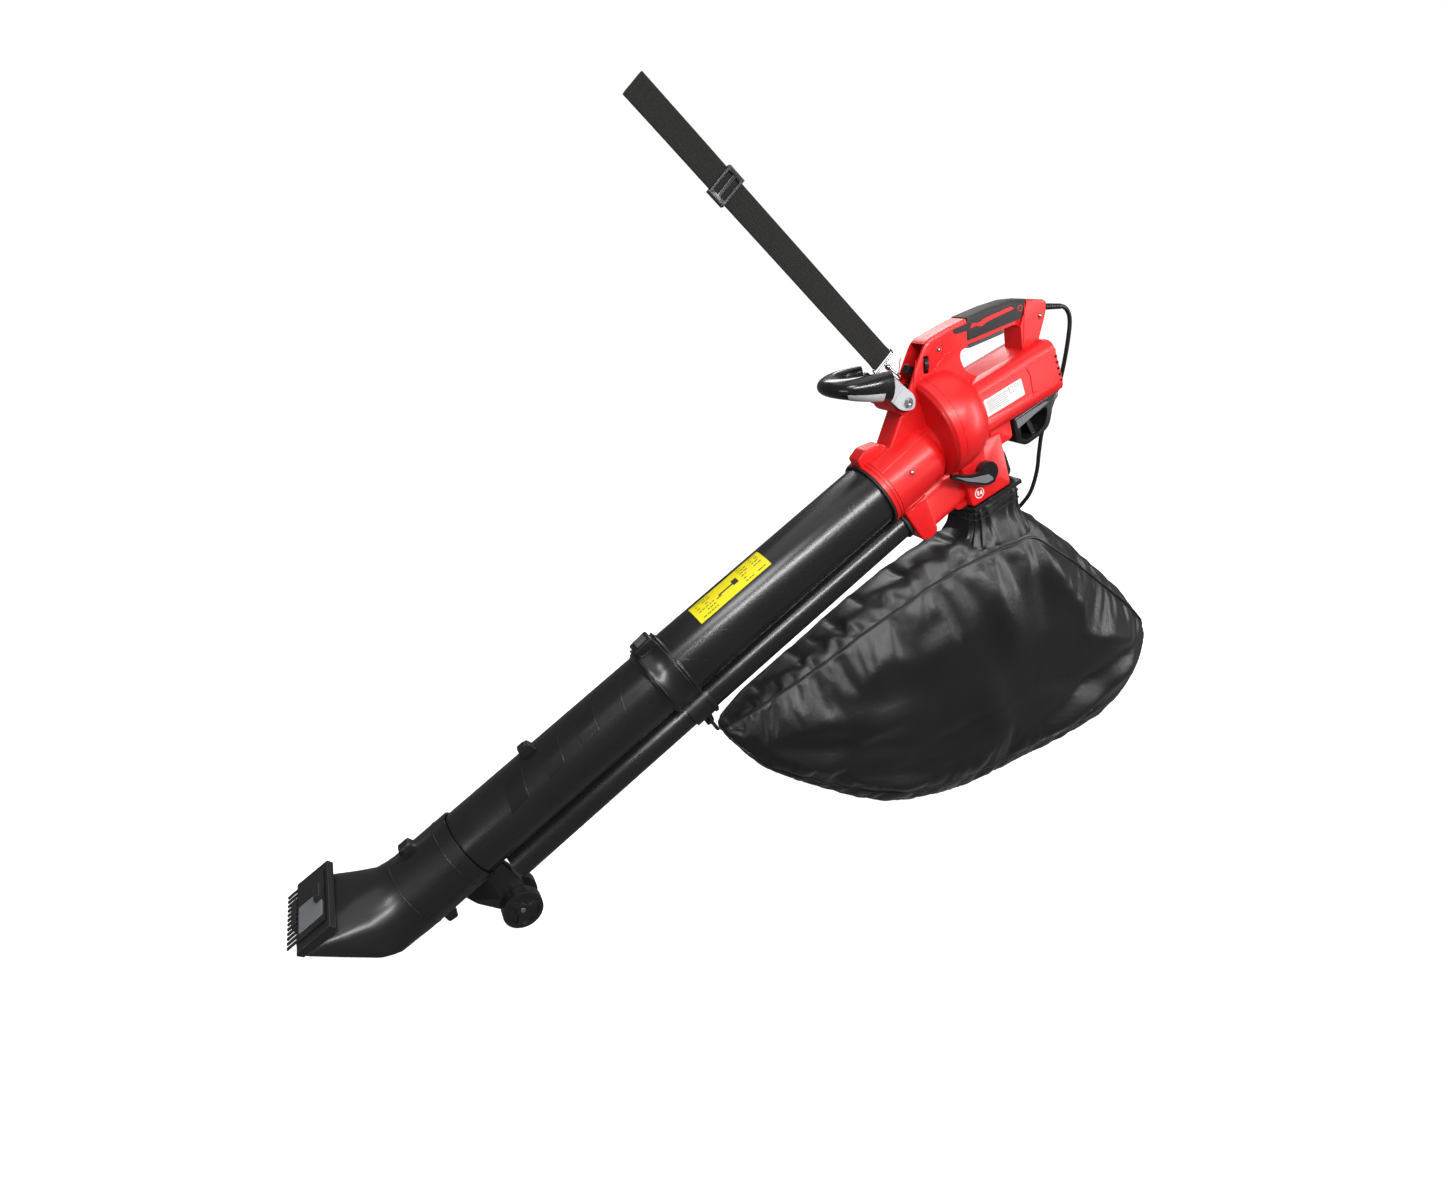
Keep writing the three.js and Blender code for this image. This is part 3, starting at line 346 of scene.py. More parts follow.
# A material whose shader is a Principled BSDF; add() makes any node by its type.
class Look:
    def __init__(self, name, **constants):
        self.material = bpy.data.materials.new(name)
        self.material.use_nodes = True
        self.nodes = self.material.node_tree.nodes
        self.links = self.material.node_tree.links
        self.shader = next(n for n in self.nodes if n.type == "BSDF_PRINCIPLED")
        for key, value in constants.items():
            self.shader.inputs[key.replace("_", " ")].default_value = value

    def add(self, kind, settings=None, values=None, output=0):
        node = self.nodes.new(kind)
        for key, value in (settings or {}).items():
            if key == "stops":
                ramp = node.color_ramp
                for i, (place, colour) in enumerate(value):
                    stop = ramp.elements[i] if i < len(ramp.elements) else ramp.elements.new(place)
                    stop.position, stop.color = place, colour
            else:
                setattr(node, key, value)
        for key, value in (values or {}).items():
            self.join(node.inputs[key], value)
        return Wave(self, node.outputs[output])

    def join(self, socket, value):
        if isinstance(value, Wave):
            self.links.new(value.socket, socket)
        else:
            socket.default_value = value

    def feed(self, name, value):
        self.join(self.shader.inputs[name], value)

    def place(self, scale=(1, 1, 1), turn=(0, 0, 0), output="Object"):
        source = self.add("ShaderNodeTexCoord", None, None, output)
        return self.add("ShaderNodeMapping", None, {"Vector": source, "Scale": scale,
                        "Rotation": [math.radians(a) for a in turn]})

    def noise(self, place, scale, detail=3, rough=0.5):
        return self.add("ShaderNodeTexNoise", None, {"Vector": place, "Scale": scale,
                        "Detail": detail, "Roughness": rough})

    def colour(self, share, low, high):
        node = self.nodes.new("ShaderNodeMix")
        node.data_type = "RGBA"
        self.join(node.inputs[0], share)
        self.join(node.inputs[6], low if isinstance(low, Wave) else (*low, 1))
        self.join(node.inputs[7], high if isinstance(high, Wave) else (*high, 1))
        return Wave(self, node.outputs[2])

    # The material, its colour, gloss and bump fed in.
    def done(self, share, low, high, rough, height, strength, distance):
        self.feed("Base Color", self.colour(share, low, high))
        self.feed("Roughness", rough)
        self.feed("Normal", self.add("ShaderNodeBump", None, {
            "Height": height, "Strength": strength, "Distance": distance}))
        return self.material

    def split(self, place):
        node = self.nodes.new("ShaderNodeSeparateXYZ")
        self.join(node.inputs[0], place)
        return [Wave(self, node.outputs[i]) for i in range(3)]


# Moulded plastic: a fine spark-eroded grain, slow drifts of gloss and a little dust.
def mouldedLook(name, low, high, rough, spread, grain=0.35, grainScale=1500, coat=0.0):
    look = Look(name, Coat_Weight=coat, Coat_Roughness=0.18, IOR=1.48)
    place = look.place()
    slow = look.noise(place, 9, 4)
    fine = look.noise(place, grainScale, 2, 0.6)
    dust = look.noise(place, 70, 5, 0.65)
    return look.done(slow * 0.7 + dust * 0.3, low, high,
                     rough + (slow - 0.5) * spread + (dust - 0.5) * spread * 0.8,
                     fine + dust * 0.15, grain, 0.00012)


finishes = {
    "redPlastic": mouldedLook("red_plastic", (0.60, 0.004, 0.006), (0.78, 0.009, 0.010), 0.40, 0.10,
                              0.30, 1300, 0.12),
    "blackPlastic": mouldedLook("black_plastic", (0.0065, 0.0065, 0.007), (0.012, 0.012, 0.013),
                                0.33, 0.10, 0.25, 1300, 0.15),
    "blackGloss": mouldedLook("black_gloss", (0.006, 0.006, 0.0065), (0.010, 0.010, 0.011),
                              0.20, 0.08, 0.10, 1500, 0.3),
    "softGrip": mouldedLook("soft_grip", (0.010, 0.010, 0.010), (0.018, 0.018, 0.018), 0.62, 0.08,
                            0.5, 900),
    "darkGrey": mouldedLook("dark_grey", (0.060, 0.063, 0.070), (0.085, 0.09, 0.1), 0.42, 0.1, 0.3),
    "midGrey": mouldedLook("mid_grey", (0.125, 0.13, 0.145), (0.17, 0.175, 0.19), 0.36, 0.1, 0.3),
    "lightGrey": mouldedLook("light_grey", (0.42, 0.43, 0.45), (0.54, 0.55, 0.57), 0.38, 0.1, 0.25),
}


# Blow-moulded tube: satin black with faint runs along its length.
def tubeLook():
    look = Look("tube_plastic", Coat_Weight=0.25, Coat_Roughness=0.22, IOR=1.5)
    place = look.place(turn=(0, layout["tubeSlope"], 0))
    stretched = look.place((6, 120, 120), (0, layout["tubeSlope"], 0))
    streak = look.noise(stretched, 1.0, 3)
    fine = look.noise(place, 1600, 2, 0.6)
    slow = look.noise(place, 14, 4)
    dust = look.noise(place, 240, 4, 0.7)
    return look.done(slow * 0.6 + dust * 0.4, (0.0062, 0.0062, 0.0066), (0.0125, 0.0125, 0.013),
                     0.27 + (slow - 0.5) * 0.06 + (streak - 0.5) * 0.03 + (dust - 0.5) * 0.03,
                     fine * 0.5 + dust * 0.03 + streak * 0.06, 0.05, 0.00008)


# Metal with fine drawn lines and smudges.
def metalLook(name, colour, rough, streaks=60):
    look = Look(name, Metallic=1.0)
    lines = look.noise(look.place((8, streaks, streaks)), 14, 3)
    smudge = look.noise(look.place(), 60, 4)
    return look.done(smudge, [c * 0.82 for c in colour], colour,
                     rough + (smudge - 0.5) * 0.16 + (lines - 0.5) * 0.08, lines, 0.1, 0.00008)


# Copper windings: fine wires wound round the motor's axis.
def windingLook():
    look = Look("copper_winding", Metallic=1.0)
    axis = look.place((1, 1, 1), (0, layout["tubeSlope"] - layout["motorTilt"], 0))
    wires = (look.split(axis)[0] * 9000).sine()
    return look.done(wires * 0.5 + 0.5, (0.32, 0.12, 0.05), (0.62, 0.28, 0.12),
                     0.34 + wires * 0.06, wires, 0.4, 0.0002)


# Coated satin cloth: a fine twill from the piece's own map, with soft creased patches.
def clothLook():
    look = Look("bag_cloth", IOR=1.42, Sheen_Weight=0.12, Sheen_Roughness=0.35,
                Sheen_Tint=(0.6, 0.6, 0.65, 1))
    u, v = look.split(look.place(output="UV"))[:2]
    place = look.place()
    warp = (u * 2600 + v * 2600).sine()
    weft = (v * 5200).sine()
    weave = warp * 0.6 + weft * 0.4
    slow = look.noise(place, 7, 5, 0.6)
    crease = look.noise(place, 34, 6, 0.62)
    fine = look.noise(place, 420, 3, 0.6)
    return look.done(slow * 0.6 + fine * 0.4, (0.0055, 0.0055, 0.006), (0.013, 0.013, 0.0137),
                     0.36 + (slow - 0.5) * 0.14 + (fine - 0.5) * 0.10 + weave * 0.02,
                     weave * 0.05 + crease * 2.2 + fine * 0.15, 0.45, 0.0010)


# Woven webbing: rows of slanting warp yarns over weft ribs, from the piece's own map in mm.
def webbingLook():
    look = Look("webbing_weave", IOR=1.4, Sheen_Weight=0.08, Sheen_Roughness=0.5)
    u, v = look.split(look.place(output="UV"))[:2]
    warp = (v * 3.6).sine()
    chevron = (v * 0.9).sine().above(0.0)
    slant = (u * 3.0 + v * 2.4 * (chevron * 2 - 1)).sine()
    ribs = (u * 2.1 + warp * 0.7).sine()
    fuzz = look.noise(look.place(), 900, 4, 0.7)
    return look.done(slant * 0.25 + ribs * 0.2 + fuzz * 0.5, (0.0035, 0.0033, 0.003),
                     (0.024, 0.023, 0.021), 0.78 + fuzz * 0.14,
                     ribs * 0.5 + warp * 0.3 + slant * 0.5 + fuzz * 0.8, 0.8, 0.0005)


def cordLook():
    look = Look("cord_jacket", IOR=1.47)
    place = look.place()
    fine = look.noise(place, 800, 3, 0.6)
    slow = look.noise(place, 25, 3)
    return look.done(slow, (0.006, 0.006, 0.006), (0.013, 0.013, 0.013),
                     0.42 + (slow - 0.5) * 0.15 + (fine - 0.5) * 0.1, fine, 0.25, 0.0002)


# Printed film: even colour with faint soiling.
def filmLook(name, low, high, rough=0.32):
    look = Look(name, Coat_Weight=0.2, Coat_Roughness=0.1)
    soil = look.noise(look.place(), 45, 5, 0.65)
    fine = look.noise(look.place(), 900, 2)
    return look.done(soil, low, high, rough + (soil - 0.5) * 0.15, fine, 0.12, 0.0001)


finishes.update({
    "tube": tubeLook(),
    "steel": metalLook("zinc_steel", (0.55, 0.55, 0.56), 0.30),
    "nickel": metalLook("nickel_plate", (0.46, 0.45, 0.43), 0.16, 40),
    "aluminium": metalLook("cast_aluminium", (0.60, 0.61, 0.62), 0.42, 20),
    "winding": windingLook(),
    "cloth": clothLook(),
    "webbing": webbingLook(),
    "cord": cordLook(),
    "whiteFilm": filmLook("white_film", (0.66, 0.66, 0.64), (0.80, 0.80, 0.79)),
    "yellowFilm": filmLook("yellow_film", (0.72, 0.60, 0.004), (0.86, 0.76, 0.008)),
    "blackInk": filmLook("black_ink", (0.010, 0.010, 0.010), (0.020, 0.020, 0.020), 0.45),
    "greyInk": filmLook("grey_ink", (0.20, 0.20, 0.21), (0.30, 0.30, 0.31), 0.4),
    # painted shade: a near-black film laid where wells and slots are dark from shade
    "paintedShade": filmLook("painted_shade", (0.002, 0.002, 0.002), (0.004, 0.004, 0.004), 0.8),
})
print("materials:", len(finishes))
slots = {
    "blackPlastic": "black_plastic", "blackGloss": "black_plastic", "tube": "black_plastic",
    "paintedShade": "black_plastic", "softGrip": "soft_grip", "darkGrey": "dark_grey_plastic",
    "midGrey": "dark_grey_plastic", "lightGrey": "grey_plastic", "redPlastic": "red",
    "steel": "steel", "nickel": "nickel", "aluminium": "cast_aluminium", "winding": "copper",
    "whiteFilm": "white_label", "cloth": "bag_fabric", "webbing": "webbing",
    "cord": "cord_jacket",
}


# The finish, body and material slot of a piece, in the order that each maker of pieces takes.
def dress(finish, body="tool"):
    return finishes[finish], body, slots[finish]


# Cord.
cordValues = {
    "exitPlace": (419, 0, 65),    # on the tool, mm
    "diameter": 0.0075,
    "route": [  # row frame, mm, from the strain relief to the plug
        (163.3, 0, 18.4), (170, 0.5, 17.6), (179, 1.5, 13), (187, 2.5, 3.5), (192, 4, -10),
        (194.5, 6, -28), (197, 10, -56), (200, 16, -84), (201, 22, -111), (198, 34, -158),
        (192, 43, -205), (194, 48, -245), (198, 53, -284), (196, 62, -326), (188, 77, -356),
        (174, 93, -384), (158, 106, -412), (146, 112, -434),
    ],
    "reliefLength": 52,
}
cordExit = toolToRow(cordValues["exitPlace"])
cordPath = spline(np.array(cordValues["route"]) / 1000, 150)
cordRing = sweep(cordPath, cordValues["diameter"] / 2, 20)
cord = cappedPiece("mains_cord", cordRing, *dress("cord"), replaces=["cord"])

# Strain relief: a collar, then rings that get thinner along a tapered sleeve.
reliefX = np.linspace(0, 1, 160)
reliefRadius = np.where(
    reliefX < 0.10, 6.9,
    5.9 - 1.3 * reliefX - 0.75 * (np.sin((reliefX - 0.10) * 2 * math.pi * 9) < -0.25)
    * (reliefX < 0.93))
reliefProfile = np.concatenate([
    [[-1.5, 4.2], [-1.5, 6.6]],
    np.stack([reliefX * cordValues["reliefLength"], reliefRadius], -1),
    [[cordValues["reliefLength"], 3.8], [cordValues["reliefLength"] - 3, 3.4]]])
reliefGrid = lathe(reliefProfile, 40) / 1000 + cordExit
ringPiece("cord_relief", reliefGrid, *dress("cord"), replaces=["strain_relief"], angle=30)

# Plug: a ribbed round body with a flat face, on the cord's last heading.
plugHeading = cordPath[-1] - cordPath[-4]
plugHeading /= np.linalg.norm(plugHeading)
plugSide = np.cross(plugHeading, [0, 0, 1])
plugSide /= np.linalg.norm(plugSide)
plugTop = np.cross(plugSide, plugHeading)


# Points in mm on the plug: x along its heading from the cord's end.
def plugToRow(points):
    p = np.asarray(points, float) / 1000
    return (cordPath[-1] + p[..., :1] * plugHeading + p[..., 1:2] * plugSide
            + p[..., 2:3] * plugTop)


plugX = np.linspace(0, 1, 90)
plugRadius = 5 + 13.2 / (1 + np.exp(-(plugX - 0.44) * 22)) - 0.5 * (
    (np.sin(plugX * 2 * math.pi * 7) > 0.3) & (plugX < 0.36))
plugProfile = np.concatenate([[[0.3, 0.0]], np.stack([0.3 + plugX * 47, plugRadius], -1),
                              [[48.0, 17.4], [48.2, 0.0]]])
plugGrid = lathe(plugProfile, 48)
plugGrid[..., 2] *= np.where(plugGrid[..., 0] > 20, 0.86, 1.0)
plug = cappedPiece("plug_body", plugToRow(plugGrid), *dress("blackPlastic"), replaces=["plug"],
                   angle=34)
pinGrid = [lathe([[48, 0.0], [48, 2.3], [64, 2.3], [66, 1.6], [66.6, 0.0]], 20) + [0, s * 9.5, 0]
           for s in (-1, 1)]
pins = [cappedPiece(f"plug_prong_{k}", plugToRow(g), *dress("nickel"), angle=30)
        for k, g in enumerate(pinGrid)]
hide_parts("plug_pins")

# Red housing.
for side in ("right", "left"):
    polished(f"housing_{side}", *dress("redPlastic"), bevel=0.0011, shade=30)
polished("rear_vent_cap", *dress("redPlastic"), bevel=0.0010)
print("housing")

# Plain CAD nodes with rounded edges.
plain = {
    "tool": {
        "blackPlastic": ["rear_bracket", "bag_frame", "wheel_bracket", "switch_body", "bag_hook",
                         "blower_coupling", "tube_collar"],
        "softGrip": ["grip_overmould", "tube_seal", "blower_seal"],
        "darkGrey": ["brush_holder_right", "brush_holder_left"],
        "steel": ["motor_stator", "front_bearing", "rear_bearing", "trigger_pin", "latch_pin",
                  "wheel_axle"],
        "aluminium": ["front_motor_plate", "rear_motor_plate"],
    },
    "rotor_body": {"winding": ["rotor"], "blackPlastic": ["impeller"], "steel": ["fan_nut"]},
    "trigger_body": {"darkGrey": ["trigger"]},
    "tube_latch_body": {"darkGrey": ["tube_latch_button"]},
    "front_button_body": {"blackPlastic": ["front_button"]},
    "bag_latch_body": {"blackPlastic": ["bag_latch"]},
    "rake_body": {"blackPlastic": ["rake_plate"]},
    "selector_body": {"blackGloss": ["selector_lever"]},
}
for body, kinds in plain.items():
    for finish, names in kinds.items():
        for node in names:
            polished(node, *dress(finish, body), bevel=0.0007)
for node in ("pivot_bolt", "pivot_nut"):
    polished(node, *dress("steel"), bevel=0.0005)

polished("nozzle", *dress("blackPlastic"), bevel=0, shade=30)
for side in ("right", "left"):
    polished(f"wheel_{side}", finishes["blackPlastic"], f"wheel_{side}_body", "wheel_rubber",
             bevel=0.0008)
    polished(f"rib_plate_{side}", *dress("lightGrey", "front_handle_body"), bevel=0.0005)
polished("speed_wheel", *dress("blackPlastic", "speed_wheel_body"), bevel=0.0005)
polished("strap_slider", *dress("blackPlastic", "strap_slider_body"))


# Two grids of one size, joined along their borders into a closed sheet.
def slabPiece(name, top, bottom, look, body, slot, uv=None, angle=38, replaces=()):
    rows, columns = top.shape[:2]
    count = rows * columns
    upper = gridFaces(rows, columns)
    lower = [[i + count for i in face[::-1]] for face in upper]
    index = np.arange(count).reshape(rows, columns)
    border = np.concatenate([index[0], index[1:, -1], index[-1, -2::-1], index[-2:0:-1, 0]])
    sides = [[int(a), int(a + count), int(b + count), int(b)]
             for a, b in zip(border, np.roll(border, -1))]
    points = np.concatenate([top.reshape(-1, 3), bottom.reshape(-1, 3)])
    if uv is not None:
        uv = np.concatenate([uv.reshape(-1, 2), uv.reshape(-1, 2)])
    piece = meshPiece(name, points, upper + lower + sides, look, body, uv, angle, replaces)
    faceOutward(piece)
    return piece


# A point on a tube: turn is in degrees from the near side, up over the top.
def onTube(along, turn, radius):
    a = np.radians(turn)
    return np.stack(np.broadcast_arrays(along, -radius * np.cos(a), radius * np.sin(a)), -1)


# A thin raised line on a tube through (along, turn) points, its corners mitred.
def tubeLine(name, points, radius, finish, width=1.2, height=0.45):
    p = np.array(points, float)
    p[:, 1] = np.radians(p[:, 1]) * radius
    parts = [np.linspace(a, b, max(2, int(np.linalg.norm(b - a) / 4)), endpoint=False)
             for a, b in zip(p[:-1], p[1:])]
    line = np.vstack(parts + [p[-1:]])
    way = unit(np.gradient(line, axis=0))
    normal = np.stack([-way[:, 1], way[:, 0]], -1)
    across = np.array([-0.5, -0.32, 0.0, 0.32, 0.5]) * width
    lift = np.array([-0.4, 0.85 * height, height, 0.85 * height, -0.4])
    flat = line[:, None] + across[None, :, None] * normal[:, None]
    grid = onTube(flat[..., 0], np.degrees(flat[..., 1] / radius), radius + lift[None, :])
    return cappedPiece(name, toolToRow(grid), *dress(finish), angle=30)


# A raised four-cornered field on a tube, straight between its (along, turn) corners.
def tubePatch(name, corners, radius):
    a, b, c, d = np.array(corners, float)
    s = np.linspace(0, 1, 16)[:, None, None]
    t = np.linspace(0, 1, 16)[None, :, None]
    flat = (a * (1 - s) + b * s) * (1 - t) + (d * (1 - s) + c * s) * t
    top, bottom = (toolToRow(onTube(flat[..., 0], flat[..., 1], radius + lift))
                   for lift in (0.7, -0.5))
    bevelled(slabPiece(name, top, bottom, *dress("blackGloss"), angle=30), 0.0004)


# Tubes.
tubes = {
    "upperRadius": 54.0, "lowerRadius": 53.0, "socketRadius": 57.3, "wall": 2.4,
    "upperEnds": (-440, 28), "socketEnds": (-472, -424), "lowerEnd": -827,
    "blowerRadius": 25.5, "blowerDrop": 81, "blowerWall": 2.0,
    "blowerUpper": (-440, 48), "blowerLower": (-806, -440.3),
    "upperLines": [
        [(-57.5, 40.4), (-72, 18), (-137.6, 13.2), (-150.2, -7)],
        [(-66, 42), (-76, 29), (-128.9, 26), (-151.4, 13.5), (-188.9, 9.3), (-196, -7)],
        [(-209, 19), (-225.7, 17), (-242.4, -6.1)],
        [(-262.6, 24.3), (-284.2, -6.8)],
        [(-386.5, 108), (-378.3, 61.4), (-363.5, 41.9), (-336.9, 17.6)],
        [(-420, 33), (-398.3, 10.5), (-371.9, -19.1)],
    ],
    "lowerLines": [
        [(-506, 84), (-524, 44.4), (-540.4, -0.6), (-824, -20.9)],
        [(-484.5, 28.1), (-490.6, 12.5), (-504.3, -27.2)],
        [(-764.6, 25.2), (-824, 19.2)],
        [(-764.6, 22.4), (-824, 16.8)],
    ],
    "lowerFields": [
        [(-562.6, 73.5), (-576.9, 32.3), (-611.8, 27), (-594.1, 72)],
        [(-629, 72.2), (-643.7, 28.1), (-677.1, 24), (-660, 70)],
        [(-696, 70), (-712, 25), (-745.4, 22), (-728, 68)],
    ],
}
wall = tubes["wall"]
low, high = tubes["upperEnds"]
lathePiece("suction_tube_upper_shell", [
    (low, tubes["upperRadius"] - wall, 0.6), (low, tubes["upperRadius"], 0.8),
    (high, tubes["upperRadius"], 0.8), (high, tubes["upperRadius"] - wall, 0.6),
], *dress("tube"), replaces=["suction_tube_upper"])
socketLow, socketHigh = tubes["socketEnds"]
inner = tubes["lowerRadius"] - wall
lathePiece("suction_tube_lower_shell", [
    (socketHigh, 54.3, 0.5), (socketHigh, tubes["socketRadius"], 1.0),
    (socketLow, tubes["socketRadius"], 1.2), (socketLow - 4, tubes["lowerRadius"] + 0.1, 2.0),
    (tubes["lowerEnd"], tubes["lowerRadius"], 0.8), (tubes["lowerEnd"], inner, 0.6),
    (low - 8, inner, 1.0), (low - 3, 54.3, 1.0),
], *dress("tube"), replaces=["suction_tube_lower"])
for i, line in enumerate(tubes["upperLines"]):
    tubeLine(f"upper_tube_line_{i}", line, tubes["upperRadius"], "tube")
for i, line in enumerate(tubes["lowerLines"]):
    tubeLine(f"lower_tube_line_{i}", line, tubes["lowerRadius"], "tube")
for i, field in enumerate(tubes["lowerFields"]):
    tubePatch(f"lower_tube_field_{i}", field, tubes["lowerRadius"])
for side in (1, -1):  # the moulding seams, one on the top and one underneath
    for name, low, high in (("upper", -422, -8), ("lower", -822, -480)):
        tubeLine(f"{name}_tube_seam_{side}", [(low, 90 * side), (high, 90 * side)],
                 tubes[name + "Radius"], "tube", width=0.9, height=0.25)
for name, (start, end) in (("upper", tubes["blowerUpper"]), ("lower", tubes["blowerLower"])):
    r = tubes["blowerRadius"]
    lathePiece(f"blower_tube_{name}_shell", [
        (start, r - tubes["blowerWall"], 0.5), (start, r, 0.8), (end, r, 0.8),
        (end, r - tubes["blowerWall"], 0.5),
    ], *dress("tube"), centre=(0, 0, -tubes["blowerDrop"]), sides=72,
        replaces=[f"blower_tube_{name}"])
guideBase = tubes["lowerRadius"] - 1.5
platePiece("tube_guide", [
    (-690, guideBase), (-687, 66, 3), (-668, 66.6, 3), (-664, guideBase),
], -8, 8, *dress("blackPlastic"), bevel=0.0009)
platePiece("tube_guide_step", [
    (-686, 62), (-685, 69, 2), (-672, 69, 2), (-670, 62),
], -6.2, 6.2, *dress("blackPlastic"), bevel=0.0009)
# Rolled rings of the collar, and the socket's dark seam.
collarRings = ((-427.0, 61.2, 1.6), (-431.6, 61.0, 1.2), (-468.6, 61.1, 1.2))
for i, (place, r, thick) in enumerate(collarRings):
    tubePiece(f"collar_ring_{i}", onTube(place, np.linspace(-58, 238, 150), r), thick,
              *dress("blackGloss"), sides=10)
print("tubes")

# Labels on film.
labels = {
    "tubeLabel": ((-361, -219), (53, 96), 54.3, 0.7),  # along, turn in degrees, radius, thickness
    "plateLabel": (-50.3, 0.8),  # its face across the tool, and its thickness
}


# A flat printed mark from its two ranges in the label's own plane.
def inkMark(name, x, y, place, look, slot="white_label", parts=2):
    u, v = np.meshgrid(np.linspace(*x, parts), np.linspace(*y, parts), indexing="ij")
    return slabPiece(name, place(u, v, 0.12), place(u, v, -0.05), look, "tool", slot, angle=30)


(labelLow, labelHigh), (turnLow, turnHigh), labelRadius, labelThick = labels["tubeLabel"]


# u runs along the label in mm, v over the tube in degrees.
def onTubeLabel(u, v, lift):
    return toolToRow(onTube(u, v, labelRadius + labelThick + lift))


u, v = np.meshgrid(np.linspace(labelLow, labelHigh, 30), np.linspace(turnLow, turnHigh, 24),
                   indexing="ij")
slabPiece("tube_label_film", onTubeLabel(u, v, 0), onTubeLabel(u, v, -labelThick),
          finishes["yellowFilm"], "tool", "yellow_label", replaces=["tube_label"])
marks = []  # generic bars that stand for rows of small print, then a plain tool sign
draw = np.random.default_rng(7)
for row, turn in enumerate(np.linspace(turnLow + 5, turnHigh - 6, 6)):
    for start, end in ((-354, -322), (-268, -250), (-243, -226)):
        place = start + 2
        while place < end:
            length = 3 + 5 * draw.random()
            if draw.random() > 0.22:
                marks.append((place, min(place + length, end), turn, turn + 1.5))
            place += length + 1.6
marks += [(-312, -280, 71, 74), (-284, -274, 68, 79), (-318, -308, 68.5, 70.5)]
for i, (a, b, c, d) in enumerate(marks):
    inkMark(f"tube_label_mark_{i}", (a, b), (c, d), onTubeLabel, finishes["blackInk"],
            "yellow_label", parts=3)

plateFace, plateThick = labels["plateLabel"]


def onPlate(u, v, lift):
    return motorToRow(np.stack([u, np.full_like(u, plateFace - plateThick - lift), v], -1))


platePiece("nameplate_film", [(48, 12, 2.5), (130, 12, 2.5), (130, -18, 2.5), (48, -18, 2.5)],
           plateFace - plateThick, plateFace, *dress("whiteFilm"),
           place=motorToRow, bevel=0.0002, replaces=["nameplate"])
marks = [(54, 90 + 18 * draw.random(), z, z + 0.9) for z in (6, 2.5, -1, -4.5, -8, -11.5)]
marks += [(112, 122, z, z + 0.8) for z in (8, 5.5, 3)]
marks += [(101, 101.8, -2, 9), (109.2, 110, -2, 9), (101, 110, 8.4, 9.2), (101, 110, -2.2, -1.4)]
for i, (a, b, c, d) in enumerate(marks):
    inkMark(f"nameplate_mark_{i}", (a, b), (c, d), onPlate, finishes["greyInk"])
print("labels")

# Details on the red housing.
for name, start, end in (("rib", 45.5, 48.5), ("rib_far", 134.5, 131.5)):
    tubeLine(f"collar_{name}", [(10, start), (116, end)], 57.4, "redPlastic", width=1.6,
             height=1.1)
for i, place in enumerate((2.0, 8.2)):  # the collar's rolled lip
    tubePiece(f"collar_lip_{i}", onTube(place, np.linspace(-52, 232, 140), 60), 0.9,
              *dress("redPlastic"), sides=10)


# A round well's rim, a near-black disc painted as the shade at its bottom, and a cross-head screw,
# on a wall facing outward.
def screwWell(name, centre, outward):
    c, o, radius = np.array(centre, float), np.array(outward, float), 4.2
    o /= np.linalg.norm(o)
    side = np.cross(o, [1.0, 0.02, 0.03])
    side /= np.linalg.norm(side)
    top = np.cross(o, side)
    turn = np.linspace(0, 2 * math.pi, 40, endpoint=False)
    def ringAt(r, h):
        return c + r * (np.cos(turn)[:, None] * side + np.sin(turn)[:, None] * top) + h * o
    rim = np.stack([ringAt(radius - 0.6, -0.4), ringAt(radius - 0.5, 0.35), ringAt(radius, 0.75),
                    ringAt(radius + 0.9, 0.55), ringAt(radius + 1.5, -0.4)])
    ringPiece(name + "_rim", toolToRow(rim), *dress("redPlastic"))
    # painted shade: a near-black disc in place of the shade down in the well
    disc = np.stack([ringAt(0.01, -0.35), ringAt(0.01, 0.12), ringAt(radius - 0.5, 0.12),
                     ringAt(radius - 0.5, -0.35)])
    ringPiece(name + "_hole", toolToRow(disc), *dress("paintedShade"))
    head = np.stack([ringAt(0.01, 0.1), ringAt(0.01, 0.42), ringAt(1.6, 0.42), ringAt(2.2, 0.2),
                     ringAt(2.2, 0.1)])
    ringPiece(name + "_screw", toolToRow(head), *dress("steel"))


# centre on the tool and which way the wall faces, on the near side, then on the far side
wells = [((x, y * side, z), (0, side * facing, rise)) for side in (-1, 1)
         for x, y, z, facing, rise in ((49, 55.4, 14.2, 0.97, 0.25), (150, 21, 96, 1, 0),
                                       (206, 21, 134, 1, 0), (372, 21, 96, 1, 0),
                                       (402, 21, 60, 1, 0))]
for i, (centre, outward) in enumerate(wells):
    screwWell(f"screw_well_{i}", centre, outward)


# A raised bead along a line of (x, z) corners on a flat wall, both ways round.
def wallPath(name, points, y, radius, place):
    outline = []
    for a, b in zip(points[:-1], points[1:]):
        steps = max(2, int(math.dist(a, b) / 3))
        outline.append(np.linspace(a, b, steps, endpoint=False))
    line = np.vstack(outline + [np.array(points[-1:], float)])
    path = np.stack([line[:, 0], np.full(len(line), y), line[:, 1]], -1)
    tubePiece(name, path, radius, *dress("redPlastic"), place=place, sides=8)


# beads of each wall: name, corners, distance from the middle, radius
handleBeads = [  # the field's edge along the front strut, the bent line at the hole, the post
    ("strut_bead", [(162, 146), (124, 96), (94, 72), (84, 60)], 21, 0.8),
    ("strut_bead_inner", [(135, 66), (158, 96), (182, 112), (205, 118)], 21, 0.8),
    ("corner_bead", [(221, 146), (207, 122), (226, 117)], 21, 0.7),
    ("post_bead", [(384, 98), (366, 66), (352, 40)], 21, 0.8),
]
motorBeads = [
    ("motor_arrow", [(146, 22), (150, 6), (146, -30)], 50, 0.9),
    ("motor_bead", [(44, -28), (140, -25), (196, -27)], 50, 0.8),
    ("motor_ridge", [(62, 24), (198, 24)], 49.6, 0.8),
]


